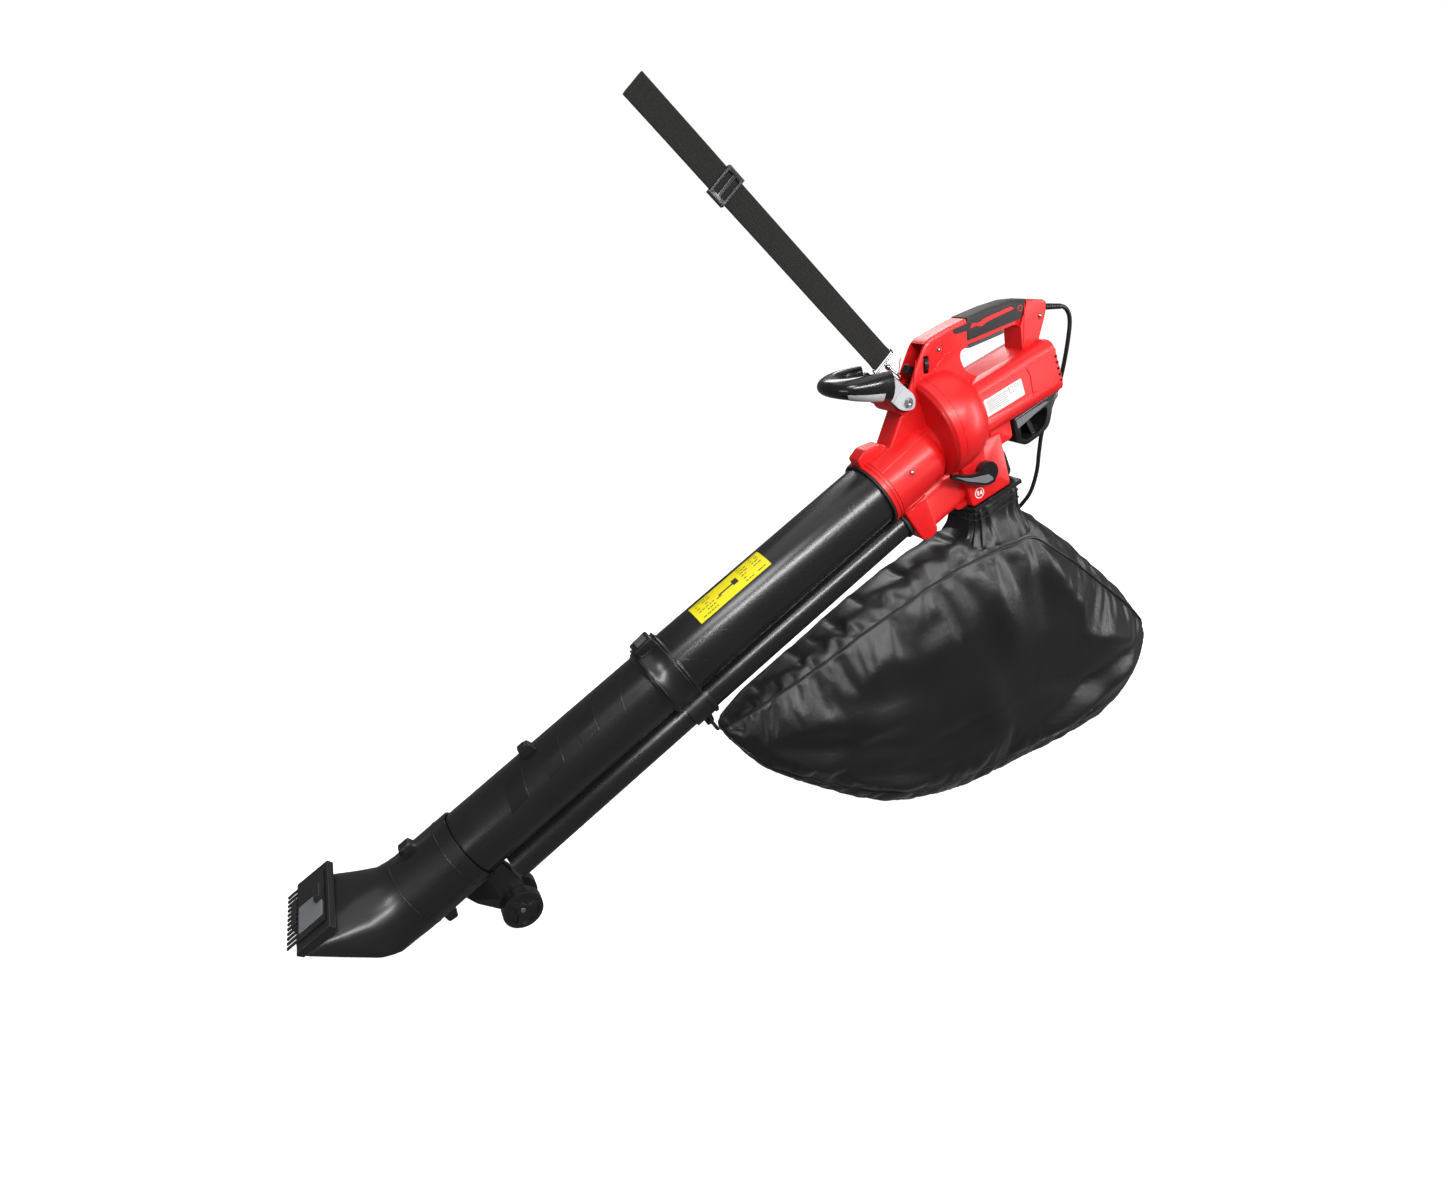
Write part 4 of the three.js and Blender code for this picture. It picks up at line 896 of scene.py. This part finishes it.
def beadWalls(beads, place):
    for sign, side in bothSides:
        for name, points, y, radius in beads:
            wallPath(f"{name}_{side}", points, sign * y, radius, place)


beadWalls(handleBeads, toolToRow)
for i, (place, r) in enumerate(((-44, 83.5), (-27, 89.8))):  # ring ribs of the fan case
    tubePiece(f"fan_case_ring_{i}", onTube(place, np.linspace(-28, 208, 140), r), 0.7,
              *dress("redPlastic"), place=motorToRow, sides=8)
beadWalls(motorBeads, motorToRow)
# toothed edge over the rear vents
for i in range(6):
    z = 26 - 11 * i
    for name, low, high in (("tooth", -49, -38), ("tooth_far", 38, 49)):
        platePiece(f"rear_{name}_{i}", [(205, z), (213, z - 1, 1), (213, z - 6, 1), (205, z - 5)],
                   low, high, *dress("redPlastic"), place=motorToRow, bevel=0.0006)

# grip: red inlay bar between the two soft fields
for sign, name in bothSides:
    platePiece(f"grip_inlay_{name}", [
        (278, 133, 1), (290, 125.5, 2), (304, 124.5, 2), (357, 110, 2), (361, 102.5, 2),
        (306, 116.5, 3), (292, 117, 3), (284, 124, 2), (272, 127, 1),
    ], *sorted((sign * 18.0, sign * 22.4)), *dress("redPlastic"), bevel=0.0008)
    platePiece(f"grip_side_field_{name}", [
        (243, 145.5, 2), (280, 135, 2), (286, 125, 2), (276, 123.5, 2), (243, 136.5, 2),
    ], *sorted((sign * 19.0, sign * 21.7)), *dress("softGrip"))
# white round sign on the block: a plain ring with an open book shape
turn = np.linspace(0, 2 * math.pi, 72, endpoint=False)
signCentre, signFace = (-2, -137), -42
circle = [np.stack([signCentre[0] + r * np.cos(turn), np.full(72, signFace + h),
                    signCentre[1] + r * np.sin(turn)], -1)
          for r, h in ((8.0, 0.2), (8.0, -0.35), (9.6, -0.35), (9.6, 0.2))]
ringPiece("round_sign_ring", motorToRow(np.stack(circle)), *dress("whiteFilm"))
for i, (a, b, c, d) in enumerate(((-7, -3, -140, -132), (-1, 3.4, -141, -134))):
    page = [(a, c, 0.5), (b, c - 0.6, 0.5), (b, d, 0.5), (a, d - 0.6, 0.5)]
    platePiece(f"round_sign_page_{i}", page, signFace - 0.35, signFace + 0.2,
               *dress("whiteFilm"), place=motorToRow, bevel=0)
print("housing details")

# Nozzle: the hood's flat top with sharp edges, the lip over the comb, and the neck's rings.
nozzleValues = {
    "hood": [(-996, 83, 2), (-999, 92.4, 1), (-1050, 93.0, 1), (-1054, 89, 1), (-1050, 80, 1),
             (-1004, 76, 2)],
    "hoodHalf": 74.8,
    "lip": [(-1049, 84, 1), (-1049, 97.2, 1.5), (-1059, 95.4, 2), (-1061, 86, 2)],
    "lipEnds": (-16, 37),
    "neckRadius": 57.5, "rings": (-926, -850),
    "ridges": [[(-836, -19), (-921, -19)], [(-836, -43), (-912, -43)], [(-836, 17), (-921, 17)]],
}
platePiece("nozzle_hood_top", nozzleValues["hood"], -nozzleValues["hoodHalf"],
           nozzleValues["hoodHalf"], *dress("blackPlastic"), bevel=0.0014)
platePiece("nozzle_lip", nozzleValues["lip"], *nozzleValues["lipEnds"], *dress("blackPlastic"),
           bevel=0.0008)
platePiece("rake_band", [(-1044, 95.5, 0.4), (-1006, 95.5, 0.4), (-1006, 97.4, 0.8),
                         (-1044, 97.4, 0.8)], -46, 8, *dress("midGrey", "rake_body"))
# painted shade: a thin near-black sheet stands for the shade inside the rake's slot
platePiece("rake_slot_painted_shade", [(-1041, 95.6, 0.1), (-1013, 95.6, 0.1), (-1013, 96.1, 0.1),
                         (-1041, 96.1, 0.1)], 12, 23, *dress("paintedShade", "rake_body"), bevel=0)
for i, place in enumerate(nozzleValues["rings"]):
    ring = nozzleValues["neckRadius"]
    lathePiece(f"nozzle_neck_ring_{i}", [(place, ring - 0.8, 0.2), (place, ring + 0.7, 0.5),
                                         (place + 1.6, ring + 0.7, 0.5),
                                         (place + 1.6, ring - 0.8, 0.2)], *dress("blackPlastic"))
for i, line in enumerate(nozzleValues["ridges"]):
    tubeLine(f"nozzle_ridge_{i}", line, nozzleValues["neckRadius"], "blackPlastic",
             width=1.8, height=0.9)
print("nozzle details")

# Grey faces on the rear bracket and on the selector's arm.
for sign, name in bothSides:
    platePiece(f"rear_bracket_face_{name}", [
        (110, -58.5, 2), (172, -57.5, 2), (186, -61, 2), (110, -75, 2),
    ], *sorted((sign * 35.4, sign * 37.0)), *dress("midGrey"), place=motorToRow)
platePiece("selector_face", [
    (13, -104, 3), (-21, -92.5, 3), (-50, -75, 2), (-30, -94, 8), (5, -117, 5), (20, -117, 5),
], -62.0, -61.0, *dress("midGrey", "selector_body"), place=motorToRow, bevel=0.0003)
print("grey faces")

# Bag.
bagValues = {
    "halfThickness": 75.0,   # mm, at the fullest place
    "endThickness": 6,       # mm, half of it at both ends
    "seamShare": 0.80,       # how far up and down the piping sits on the side panels
    "top": [(-478, -633), (-424, -590), (-332, -530), (-237, -466), (-140, -409), (-43, -362),
            (-10, -352), (84, -330), (108, -332), (220, -408), (366, -519), (440, -589),
            (458, -622)],
    "bottom": [(-478, -640), (-451, -674), (-404, -720), (-326, -768), (-221, -823), (-155, -848),
               (-99, -858), (5, -860), (125, -838), (250, -814), (328, -796), (373, -769),
               (413, -722), (458, -640)],
    "rows": 210, "columns": 112,
    "pressure": 2.2, "grow": -0.028, "frames": 20, "cap": 0.012,
}


# Heights along a line of (x, z) points, its corners eased over a short span.
def easedLine(points, x):
    p = np.array(points, float)
    fine = np.linspace(p[0, 0], p[-1, 0], 600)
    z = np.interp(fine, p[:, 0], p[:, 1])
    kernel = np.exp(-np.linspace(-2.2, 2.2, 31) ** 2)
    kernel /= kernel.sum()
    middle = np.convolve(np.pad(z, 15, mode="edge"), kernel, mode="valid")
    end = np.minimum(1, np.minimum(fine - fine[0], fine[-1] - fine) / 40)
    return np.interp(x, fine, z * (1 - end) + middle * end)


# Sections along x: a tall rounded box whose half width swells from the ends to the middle,
# with the side panels nearly flat and a gusset over the top and under the bottom.
def bagGrid(rows, columns):
    s = np.linspace(0, 1, rows)
    start, end = bagValues["top"][0][0], bagValues["top"][-1][0]
    x = start + (end - start) * (s - 0.055 * np.sin(2 * math.pi * s))
    top = easedLine(bagValues["top"], x)
    bottom = easedLine(bagValues["bottom"], x)
    swell = np.sin(math.pi * np.clip(s, 0, 1)) ** 0.48
    thick = bagValues["endThickness"] + (
        bagValues["halfThickness"] - bagValues["endThickness"]) * swell
    turn = np.linspace(0, 2 * math.pi, columns, endpoint=False)
    across = np.sign(np.cos(turn)) * np.abs(np.cos(turn)) ** 0.62
    up = np.sign(np.sin(turn)) * np.abs(np.sin(turn)) ** 0.86
    middle, halfHeight = (top + bottom) / 2, (top - bottom) / 2
    y = thick[:, None] * across[None, :]
    z = middle[:, None] + halfHeight[:, None] * up[None, :]
    return np.stack([np.repeat(x[:, None], columns, 1), y, z], -1), s, turn


# Broad folds as a sum of soft ridges, each along a line with its own width and height.
def foldField(x, z, side):
    ridges = [  # from, to, half width, height, all mm in the side panel's plane
        (-440, -680, -60, -815, 26, 11), (-60, -815, 60, -770, 20, 8),
        (60, -800, 430, -650, 24, 12), (150, -730, 450, -610, 20, -8),
        (-420, -640, -130, -640, 22, 8), (-430, -665, -90, -700, 18, -7),
        (-250, -560, -20, -500, 34, 9), (-20, -400, 60, -560, 30, 10),
        (60, -350, 300, -560, 36, 9), (90, -340, 120, -520, 20, -7),
        (-90, -470, -210, -600, 30, -8), (-330, -740, -60, -770, 16, -8),
        (200, -450, 420, -610, 24, -6), (-10, -600, 60, -740, 34, 7),
        (230, -560, 440, -640, 16, 7), (-300, -700, -160, -640, 20, 6),
        (120, -640, 330, -700, 26, -8), (-160, -760, 100, -640, 18, -6),
    ]
    height = np.zeros_like(x)
    for i, (x0, z0, x1, z1, width, lift) in enumerate(ridges):
        if side > 0:  # the far panel has its own folds
            x0, x1 = x0 + 37 * math.sin(3 * i), x1 + 29 * math.cos(5 * i)
            z0, z1, lift = z0 + 18 * math.cos(4 * i), z1 - 15 * math.sin(2 * i), -lift * 0.9
        dx, dz = x1 - x0, z1 - z0
        t = np.clip(((x - x0) * dx + (z - z0) * dz) / (dx * dx + dz * dz), 0, 1)
        bend = 9 * np.sin(t * 3.1 + i)
        away = np.hypot(x - x0 - t * dx, z - z0 - t * dz + bend)
        fade = np.sin(math.pi * (0.08 + 0.84 * t)) ** 0.7
        height += 1.25 * lift * np.exp(-(away / width) ** 2) * fade
    return height


bagPoints, bagAlong, bagTurn = bagGrid(bagValues["rows"], bagValues["columns"])
sideShare = np.clip((np.abs(np.cos(bagTurn)) - 0.25) / 0.4, 0, 1)[None, :]
endShare = np.clip(np.minimum(bagAlong, 1 - bagAlong) / 0.07, 0, 1)[:, None]
for side in (-1, 1):
    picked = (np.sign(np.cos(bagTurn)) == side)[None, :]
    lift = foldField(bagPoints[..., 0], bagPoints[..., 2], side)
    bagPoints[..., 1] += side * lift * sideShare * endShare * picked
# puckers beside the seams: short waves along the edge that die away towards the panel's middle
seamNear = np.exp(-((np.abs(np.sin(bagTurn)) - bagValues["seamShare"]) / 0.10) ** 2)[None, :]
wave = (np.sin(bagPoints[..., 0] * 0.115 + 2.1 * np.sin(bagPoints[..., 0] * 0.021))
        * (0.6 + 0.4 * np.sin(bagPoints[..., 0] * 0.037)))
bagPoints[..., 1] += np.sign(np.cos(bagTurn))[None, :] * 1.1 * wave * seamNear * endShare
bagUv = np.stack(np.broadcast_arrays(bagPoints[..., 0] / 1000,
                                     (bagTurn * 0.16)[None, :]), -1)
bag = cappedPiece("bag_shell", mmToRow(bagPoints), *dress("cloth"), uv=bagUv, angle=75,
                  replaces=["bag"])


# The fabric is let out a little and filled with air while its held points stay; then no
# point is left farther than cap from where it began.
def clothPass(piece, held, pressure, grow, frames, cap):
    mesh = piece.data
    start = np.zeros(len(mesh.vertices) * 3)
    mesh.vertices.foreach_get("co", start)
    start = start.reshape(-1, 3)
    group = piece.vertex_groups.new(name="held")
    for strength in np.unique(held):
        if strength > 0:
            group.add(np.nonzero(held == strength)[0].tolist(), float(strength), "REPLACE")
    cloth = piece.modifiers.new("cloth", "CLOTH")
    s = cloth.settings
    s.quality, s.mass, s.air_damping = 5, 0.25, 1.5
    s.tension_stiffness = s.compression_stiffness = 12
    s.shear_stiffness, s.bending_stiffness = 4, 0.6
    s.use_pressure, s.uniform_pressure_force = True, pressure
    s.shrink_min = grow
    s.vertex_group_mass, s.pin_stiffness = "held", 1.0
    s.effector_weights.gravity = 0.0
    cloth.collision_settings.use_collision = False
    cloth.collision_settings.use_self_collision = False
    scene = bpy.context.scene
    for number in range(1, frames + 1):
        scene.frame_set(number)
    shaped = piece.evaluated_get(bpy.context.evaluated_depsgraph_get()).data
    end = np.zeros(len(mesh.vertices) * 3)
    shaped.vertices.foreach_get("co", end)
    move = end.reshape(-1, 3) - start
    far = np.linalg.norm(move, axis=1, keepdims=True)
    move *= np.minimum(1, cap / np.maximum(far, 1e-9))
    piece.modifiers.remove(cloth)
    scene.frame_set(1)
    piece.vertex_groups.clear()
    mesh.vertices.foreach_set("co", (start + move).ravel())
    mesh.update()


seamHold = np.where(np.abs(np.abs(np.sin(bagTurn)) - bagValues["seamShare"]) < 0.03, 1.0, 0.0)
held = np.broadcast_to(seamHold[None, :], bagPoints.shape[:2]).copy()
held[:3] = held[-3:] = 1.0
neckHeld = ((bagPoints[..., 0] > -40) & (bagPoints[..., 0] < 120)
            & (bagPoints[..., 2] > -372))
held[neckHeld] = 1.0
clothPass(bag, held.ravel(), bagValues["pressure"], bagValues["grow"], bagValues["frames"],
          bagValues["cap"])
print("bag shell")

# Piping along both seams and round the ends, lying on the held seam line of the grid.
for sign, name in bothSides:
    wanted = [int(np.argmin(np.abs((np.cos(bagTurn) * sign < 0) * 9 + np.abs(np.sin(bagTurn) - s))))
              for s in (bagValues["seamShare"], -bagValues["seamShare"])]
    upper = bagPoints[3:-3, wanted[0]]
    lower = bagPoints[3:-3, wanted[1]]
    loop = np.vstack([upper, lower[::-1]])
    loop = np.vstack([loop, loop[:1]])
    path = spline(loop, 520)[:-1]
    path[:, 1] += sign * 0.6
    tubePiece(f"bag_piping_{name}", path, 2.3, finishes["cord"], "tool", "bag_fabric",
              place=mmToRow, sides=8, closed=True)
print("bag seams")

# Neck: a gathered band from the frame's lower face down to the bag's opening.
neckValues = {
    "upper": (-19, 81, 40, -165.8),  # from, to, half width across, height, mm on the motor
    "lower": (37, 76, 60, -372),     # middle, both half widths, height, mm in the row frame
    "gathers": 15, "rows": 26, "columns": 240,
}


# A box outline with round corners: a superellipse in two half widths.
def roundedBox(turn, halfX, halfY, power):
    c, s = np.cos(turn), np.sin(turn)
    return (halfX * np.sign(c) * np.abs(c) ** (2 / power),
            halfY * np.sign(s) * np.abs(s) ** (2 / power))


turn = np.linspace(0, 2 * math.pi, neckValues["columns"], endpoint=False)
low, high, halfY, topZ = neckValues["upper"]
bx, by = roundedBox(turn, (high - low) / 2 - 1, halfY - 1, 7)
upper = toolToRow(motorToTool(np.stack([(low + high) / 2 + bx, by, np.full_like(turn, topZ)], -1)))
middleX, halfX, halfY, bottomZ = neckValues["lower"]
lx, ly = roundedBox(turn, halfX, halfY, 3.2)
lower = np.stack([middleX + lx, ly, np.full_like(turn, bottomZ) + 12 * (lx / halfX)], -1) / 1000
share = np.linspace(0, 1, neckValues["rows"])[:, None, None]
grid = upper * (1 - share) + lower * share
gather = (np.sin(turn * neckValues["gathers"] + 1.3 * np.sin(3 * turn)) * 0.0022
          + np.sin(turn * 37 + 2 * np.sin(2 * turn)) * 0.0008)
outward = grid - grid.mean(1, keepdims=True)
outward[..., 2] = 0
outward = unit(outward)
grid = grid + outward * (gather[None, :, None] * np.sin(math.pi * share) ** 0.5
                         - 0.008 * np.sin(math.pi * share) ** 2)
inner = grid - outward * 0.0016
wallGrid = np.concatenate([grid, inner[::-1]])
neckUv = np.stack(np.broadcast_arrays(np.linspace(0, 0.12, len(wallGrid))[:, None],
                                      (turn * 0.07)[None, :]), -1)
ringPiece("bag_neck_band", wallGrid, *dress("cloth"), uv=neckUv, angle=70, replaces=["bag_neck"])
for i, row in enumerate((3, 7)):
    tubePiece(f"bag_neck_cord_{i}", np.asarray(grid[row] + outward[row] * 0.0008) * 1000, 1.5,
              finishes["webbing"], "tool", "bag_fabric", place=mmToRow, sides=8, closed=True)
print("bag neck")

# Shoulder strap.
strapValues = {"width": 39.0, "thick": 1.9, "length": 543.0, "loopAt": 48.0, "ply": 1.25,
               "bend": 3.0}


# A flat strap of a width and thickness along a path of (x, y) points, its edges rounded;
# its map runs in mm along and across.
def ribbon(name, path, look, body, slot, width, thick, replaces=()):
    way = unit(np.gradient(path, axis=0))
    normal = np.stack([-way[:, 1], way[:, 0]], -1)
    run = alongPath(path)
    across = np.linspace(-1, 1, 13)
    half = thick / 2 * np.sqrt(1 - np.abs(across) ** 10 * 0.75)
    wave = 0.25 * np.sin(run / 37)[:, None] * across[None, :]
    def layer(sign):
        flat = path[:, None] + (sign * half[None, :, None] + wave[..., None]) * normal[:, None]
        return np.stack([flat[..., 0], flat[..., 1],
                         np.broadcast_to(across * width / 2, flat.shape[:2])], -1)
    uv = np.stack(np.broadcast_arrays(run[:, None], (across * width / 2)[None, :]), -1)
    return slabPiece(name, strapToRow(layer(1)), strapToRow(layer(-1)), look, body, slot, uv=uv,
                     angle=50, replaces=replaces)


ply, bend = strapValues["ply"], strapValues["bend"]
strapEnd = 51 + strapValues["length"] - 6
bendTurn = np.linspace(math.pi / 2, 1.5 * math.pi, 24)
straight = np.linspace(strapEnd, 60, 260)
upperRun = np.stack([straight, ply + 0 * straight], -1)
into = np.stack([np.linspace(60, strapValues["loopAt"], 8), np.linspace(ply, bend, 8)], -1)[1:-1]
around = np.stack([strapValues["loopAt"] + bend * np.cos(bendTurn), bend * np.sin(bendTurn)], -1)
out = into[::-1] * [1, -1]
lowerRun = upperRun[::-1] * [1, -1]
ribbon("shoulder_strap_webbing", np.vstack([upperRun, into, around, out, lowerRun]),
       *dress("webbing", "strap_body"), strapValues["width"], strapValues["thick"],
       replaces=["shoulder_strap"])
endTurn = np.linspace(-math.pi / 2, math.pi / 2, 16)
endPath = np.stack([strapEnd + 2.3 * np.cos(endTurn), 1.3 * np.sin(endTurn)], -1)
ribbon("shoulder_strap_end", endPath, *dress("webbing", "strap_body"),
       strapValues["width"], 1.6)
stitches = []  # a stitched box with a cross near the loop, and two rows at the upper end
box = [(62, -15), (62, 15), (92, 15), (92, -15)]
for a, b in ((box[0], box[1]), (box[1], box[2]), (box[2], box[3]), (box[3], box[0]),
             (box[0], box[2]), (box[1], box[3]),
             ((strapEnd - 8, -17), (strapEnd - 8, 17)),
             ((strapEnd - 20, -17), (strapEnd - 20, 17))):
    count = int(math.dist(a, b) / 3)
    for k in range(count):
        stitches.append((np.array(a) + (np.array(b) - a) * (k + 0.15) / count,
                         np.array(a) + (np.array(b) - a) * (k + 0.8) / count))
points, faces = [], []
for sign in (-1, 1):
    for a, b in stitches:
        way = (b - a) / np.linalg.norm(b - a)
        side = np.array([-way[1], way[0]]) * 0.35
        y = sign * (ply + strapValues["thick"] / 2)
        corners = [(*(a + side), y - sign * 0.2), (*(a - side), y - sign * 0.2),
                   (*(b - side), y - sign * 0.2), (*(b + side), y - sign * 0.2),
                   (*((a + b) / 2 + side), y + sign * 0.4), (*((a + b) / 2 - side), y + sign * 0.4)]
        base = len(points)
        points += [(c[0], c[2], c[1]) for c in corners]
        faces += [[base + i for i in f] for f in ((0, 3, 4), (1, 5, 2), (0, 4, 5, 1), (3, 2, 5, 4),
                                                   (0, 1, 2, 3))]
stitching = meshPiece("strap_stitching", strapToRow(points), faces, finishes["cord"], "strap_body")
faceOutward(stitching)

# Nickel hook, swivel and wire loop.
hookPath = spline([(30, 0, 0), (24, -5, 0), (15, -9.5, 0), (6, -9.5, 0), (0.3, -4.5, 0),
                   (0.3, 4.5, 0), (6, 9.5, 0)], 60)
cappedPiece("hook_body", strapToRow(sweep(hookPath[:, [0, 2, 1]], np.linspace(2.3, 1.7, 60), 18)
                                  [..., [0, 2, 1]]), *dress("nickel"), replaces=["snap_hook"])
ringPiece("hook_barrel", strapToRow(lathe(cornered([
    (25.5, 0.01), (25.5, 3.6, 0.8), (28, 4.6, 0.8), (32, 4.6, 0.8), (34.1, 3.4, 0.8),
    (34.1, 0.01)], 4), 32)), *dress("nickel"))
gatePath = spline([(9, 9.6, 0), (16, 9, 0), (22, 6.5, 0)], 24)
cappedPiece("hook_gate_pin", strapToRow(sweep(gatePath[:, [0, 2, 1]], 1.4, 14)[..., [0, 2, 1]]),
          *dress("nickel", "hook_gate_body"), replaces=["hook_gate"])
ringPiece("swivel_stud", strapToRow(lathe(cornered([
    (34.4, 0.01), (34.4, 2.4, 0.5), (36.5, 2.9, 0.5), (38.6, 2.0, 0.4), (38.6, 0.01)], 4), 28)),
    *dress("nickel", "strap_body"), replaces=["wire_loop"])
loopCorners = cornered([(39, -22.5, 3), (48, -22.5, 3), (48, 22.5, 3), (39, 22.5, 3)], 6)
loopPath = []
for a, b in zip(loopCorners, np.roll(loopCorners, -1, 0)):
    steps = max(1, int(np.linalg.norm(b - a) / 1.5))
    loopPath.append(np.linspace(a, b, steps, endpoint=False))
loopPath = np.vstack(loopPath)
loop3 = np.stack([loopPath[:, 0], np.zeros(len(loopPath)), loopPath[:, 1]], -1)
tubePiece("strap_wire_loop", loop3, 1.45, *dress("nickel", "strap_body"), place=strapToRow,
          sides=14, closed=True)
print("strap and hook")

# Front handle.
handleValues = {"pivot": (106, 107), "armIn": 30.3, "armOut": 37.0, "stations": 90, "sides": 44}
px, pz = handleValues["pivot"]


# The bow's section carried round a half ellipse; it is widest at the front, where its
# outer edge narrows to a soft fin.
def bowGrid(stations, sides):
    turn = np.linspace(-math.pi / 2, math.pi / 2, stations)
    ahead, side = np.cos(turn), np.sin(turn)
    reach = np.abs(ahead) ** 0.7
    centre = np.stack([px - 14 - 66 * reach, 44 * side + 4 * side * ahead,
                       pz + 44 + 40 * reach], -1)
    out = unit(np.stack([-0.85 * ahead, 1.1 * side, 0.52 * ahead], -1))
    deep = 11 + 9 * ahead
    thick = 24 - 8 * ahead
    phase = np.linspace(0, 2 * math.pi, sides, endpoint=False)
    a = deep[:, None] * np.cos(phase)
    b = thick[:, None] * np.sin(phase) * (1 - 0.16 * np.cos(phase)) * (1 + 0.04 * np.cos(2 * phase))
    up = np.array([0.52, 0.0, 0.85])
    return centre[:, None] + a[..., None] * out[:, None] + b[..., None] * up


bow = bowGrid(handleValues["stations"], handleValues["sides"])
cappedPiece("front_handle_bow", toolToRow(bow), finishes["blackGloss"], "front_handle_body",
          "soft_grip", replaces=["front_grip"], angle=60)
armLine = [(px + 17, pz + 2, 14), (px + 6, pz - 17, 12), (px - 17, pz - 4, 12),
           (px - 32, pz + 44, 5), (px - 2, pz + 54, 5)]
for sign, name in bothSides:
    platePiece(f"front_handle_arm_{name}", armLine,
               *sorted((sign * handleValues["armIn"], sign * handleValues["armOut"])),
               finishes["blackGloss"], "front_handle_body", "soft_grip", bevel=0.0012, curve=10)
    # light inlay on the bow's near flank
    shell = bowGrid(120, 60)
    rows = slice(4, 34) if sign < 0 else slice(86, 116)
    part = shell[rows][:, 46:57]
    away = unit(part - shell[rows].mean(1, keepdims=True))
    slabPiece(f"front_handle_inlay_{name}", toolToRow(part + away * 0.5),
              toolToRow(part - away * 1.2), *dress("lightGrey", "front_handle_body"), angle=50)
print("front handle")

# Floor and light.
stageValues = {
    "floorDrop": 0.002,
    "floorSize": 60.0,
    "floorColour": (0.62, 0.62, 0.62, 1),
    "floorGlow": 0.82,
    "sky": (1.0, 1.0, 1.0, 1),
    "skyStrength": 0.14,
    "backdropStrength": 1.0,
    "topStrength": 0.9,
}
lowest = cadBox[0][2]
floorMesh = bpy.data.meshes.new("floor")
half = stageValues["floorSize"]
height = lowest - stageValues["floorDrop"]
floorMesh.from_pydata([(-half, -half, height), (half, -half, height), (half, half, height),
                       (-half, half, height)], [], [(0, 1, 2, 3)])
floorLook = Look("studio_floor", Base_Color=stageValues["floorColour"], Roughness=0.9,
                 Emission_Color=stageValues["sky"], Emission_Strength=stageValues["floorGlow"])
floorMesh.materials.append(floorLook.material)
floor = placed("floor", floorMesh)
floor.visible_diffuse = floor.visible_glossy = False  # it lights nothing: blacks stay deep

world = bpy.data.worlds.new("studio")
bpy.context.scene.world = world
world.use_nodes = True
background = world.node_tree.nodes["Background"]
backdrop = world.node_tree.nodes.new("ShaderNodeBackground")  # what the eye sees past the floor
for node, strength in ((background, "skyStrength"), (backdrop, "backdropStrength")):
    node.inputs["Color"].default_value = stageValues["sky"]
    node.inputs["Strength"].default_value = stageValues[strength]
chooser = world.node_tree.nodes.new("ShaderNodeMixShader")
ray = world.node_tree.nodes.new("ShaderNodeLightPath")
output = world.node_tree.nodes["World Output"]
for source, target in ((ray.outputs["Is Camera Ray"], chooser.inputs[0]),
                       (background.outputs[0], chooser.inputs[1]),
                       (backdrop.outputs[0], chooser.inputs[2]),
                       (chooser.outputs[0], output.inputs["Surface"])):
    world.node_tree.links.new(source, target)
bpy.context.scene.view_settings.view_transform = "Standard"
bpy.context.scene.view_settings.look = "None"

lights = {  # place, what it faces, width, height, watts
    "key": ((-1.9, -2.2, 2.4), (-0.2, 0, -0.3), 1.1, 0.8, 40),
    "strip": ((-0.1, -2.3, 1.0), (-0.2, 0, -0.45), 2.8, 0.24, 78),
    "side": ((2.3, -1.5, 0.4), (0.0, 0, -0.35), 0.35, 1.8, 34),
    "back": ((0.6, 2.3, 1.9), (-0.2, 0, -0.2), 1.6, 1.2, 40),
    "low": ((-2.6, -1.4, -0.55), (-0.4, 0, -0.5), 1.2, 0.4, 10),
}
sun = bpy.data.lights.new("evenTop", "SUN")
sun.energy, sun.angle = stageValues["topStrength"], math.radians(70)
holder = placed("evenTop", sun)
holder.rotation_euler = (math.radians(-8), math.radians(6), 0)
for name, (place, target, width, tall, watts) in lights.items():
    lamp = bpy.data.lights.new(name, "AREA")
    lamp.shape, lamp.size, lamp.size_y, lamp.energy = "RECTANGLE", width, tall, watts
    holder = placed(name, lamp)
    holder.location = place
    holder.rotation_euler = (Vector(target) - Vector(place)).to_track_quat("-Z", "Y").to_euler()
print("stage and light")
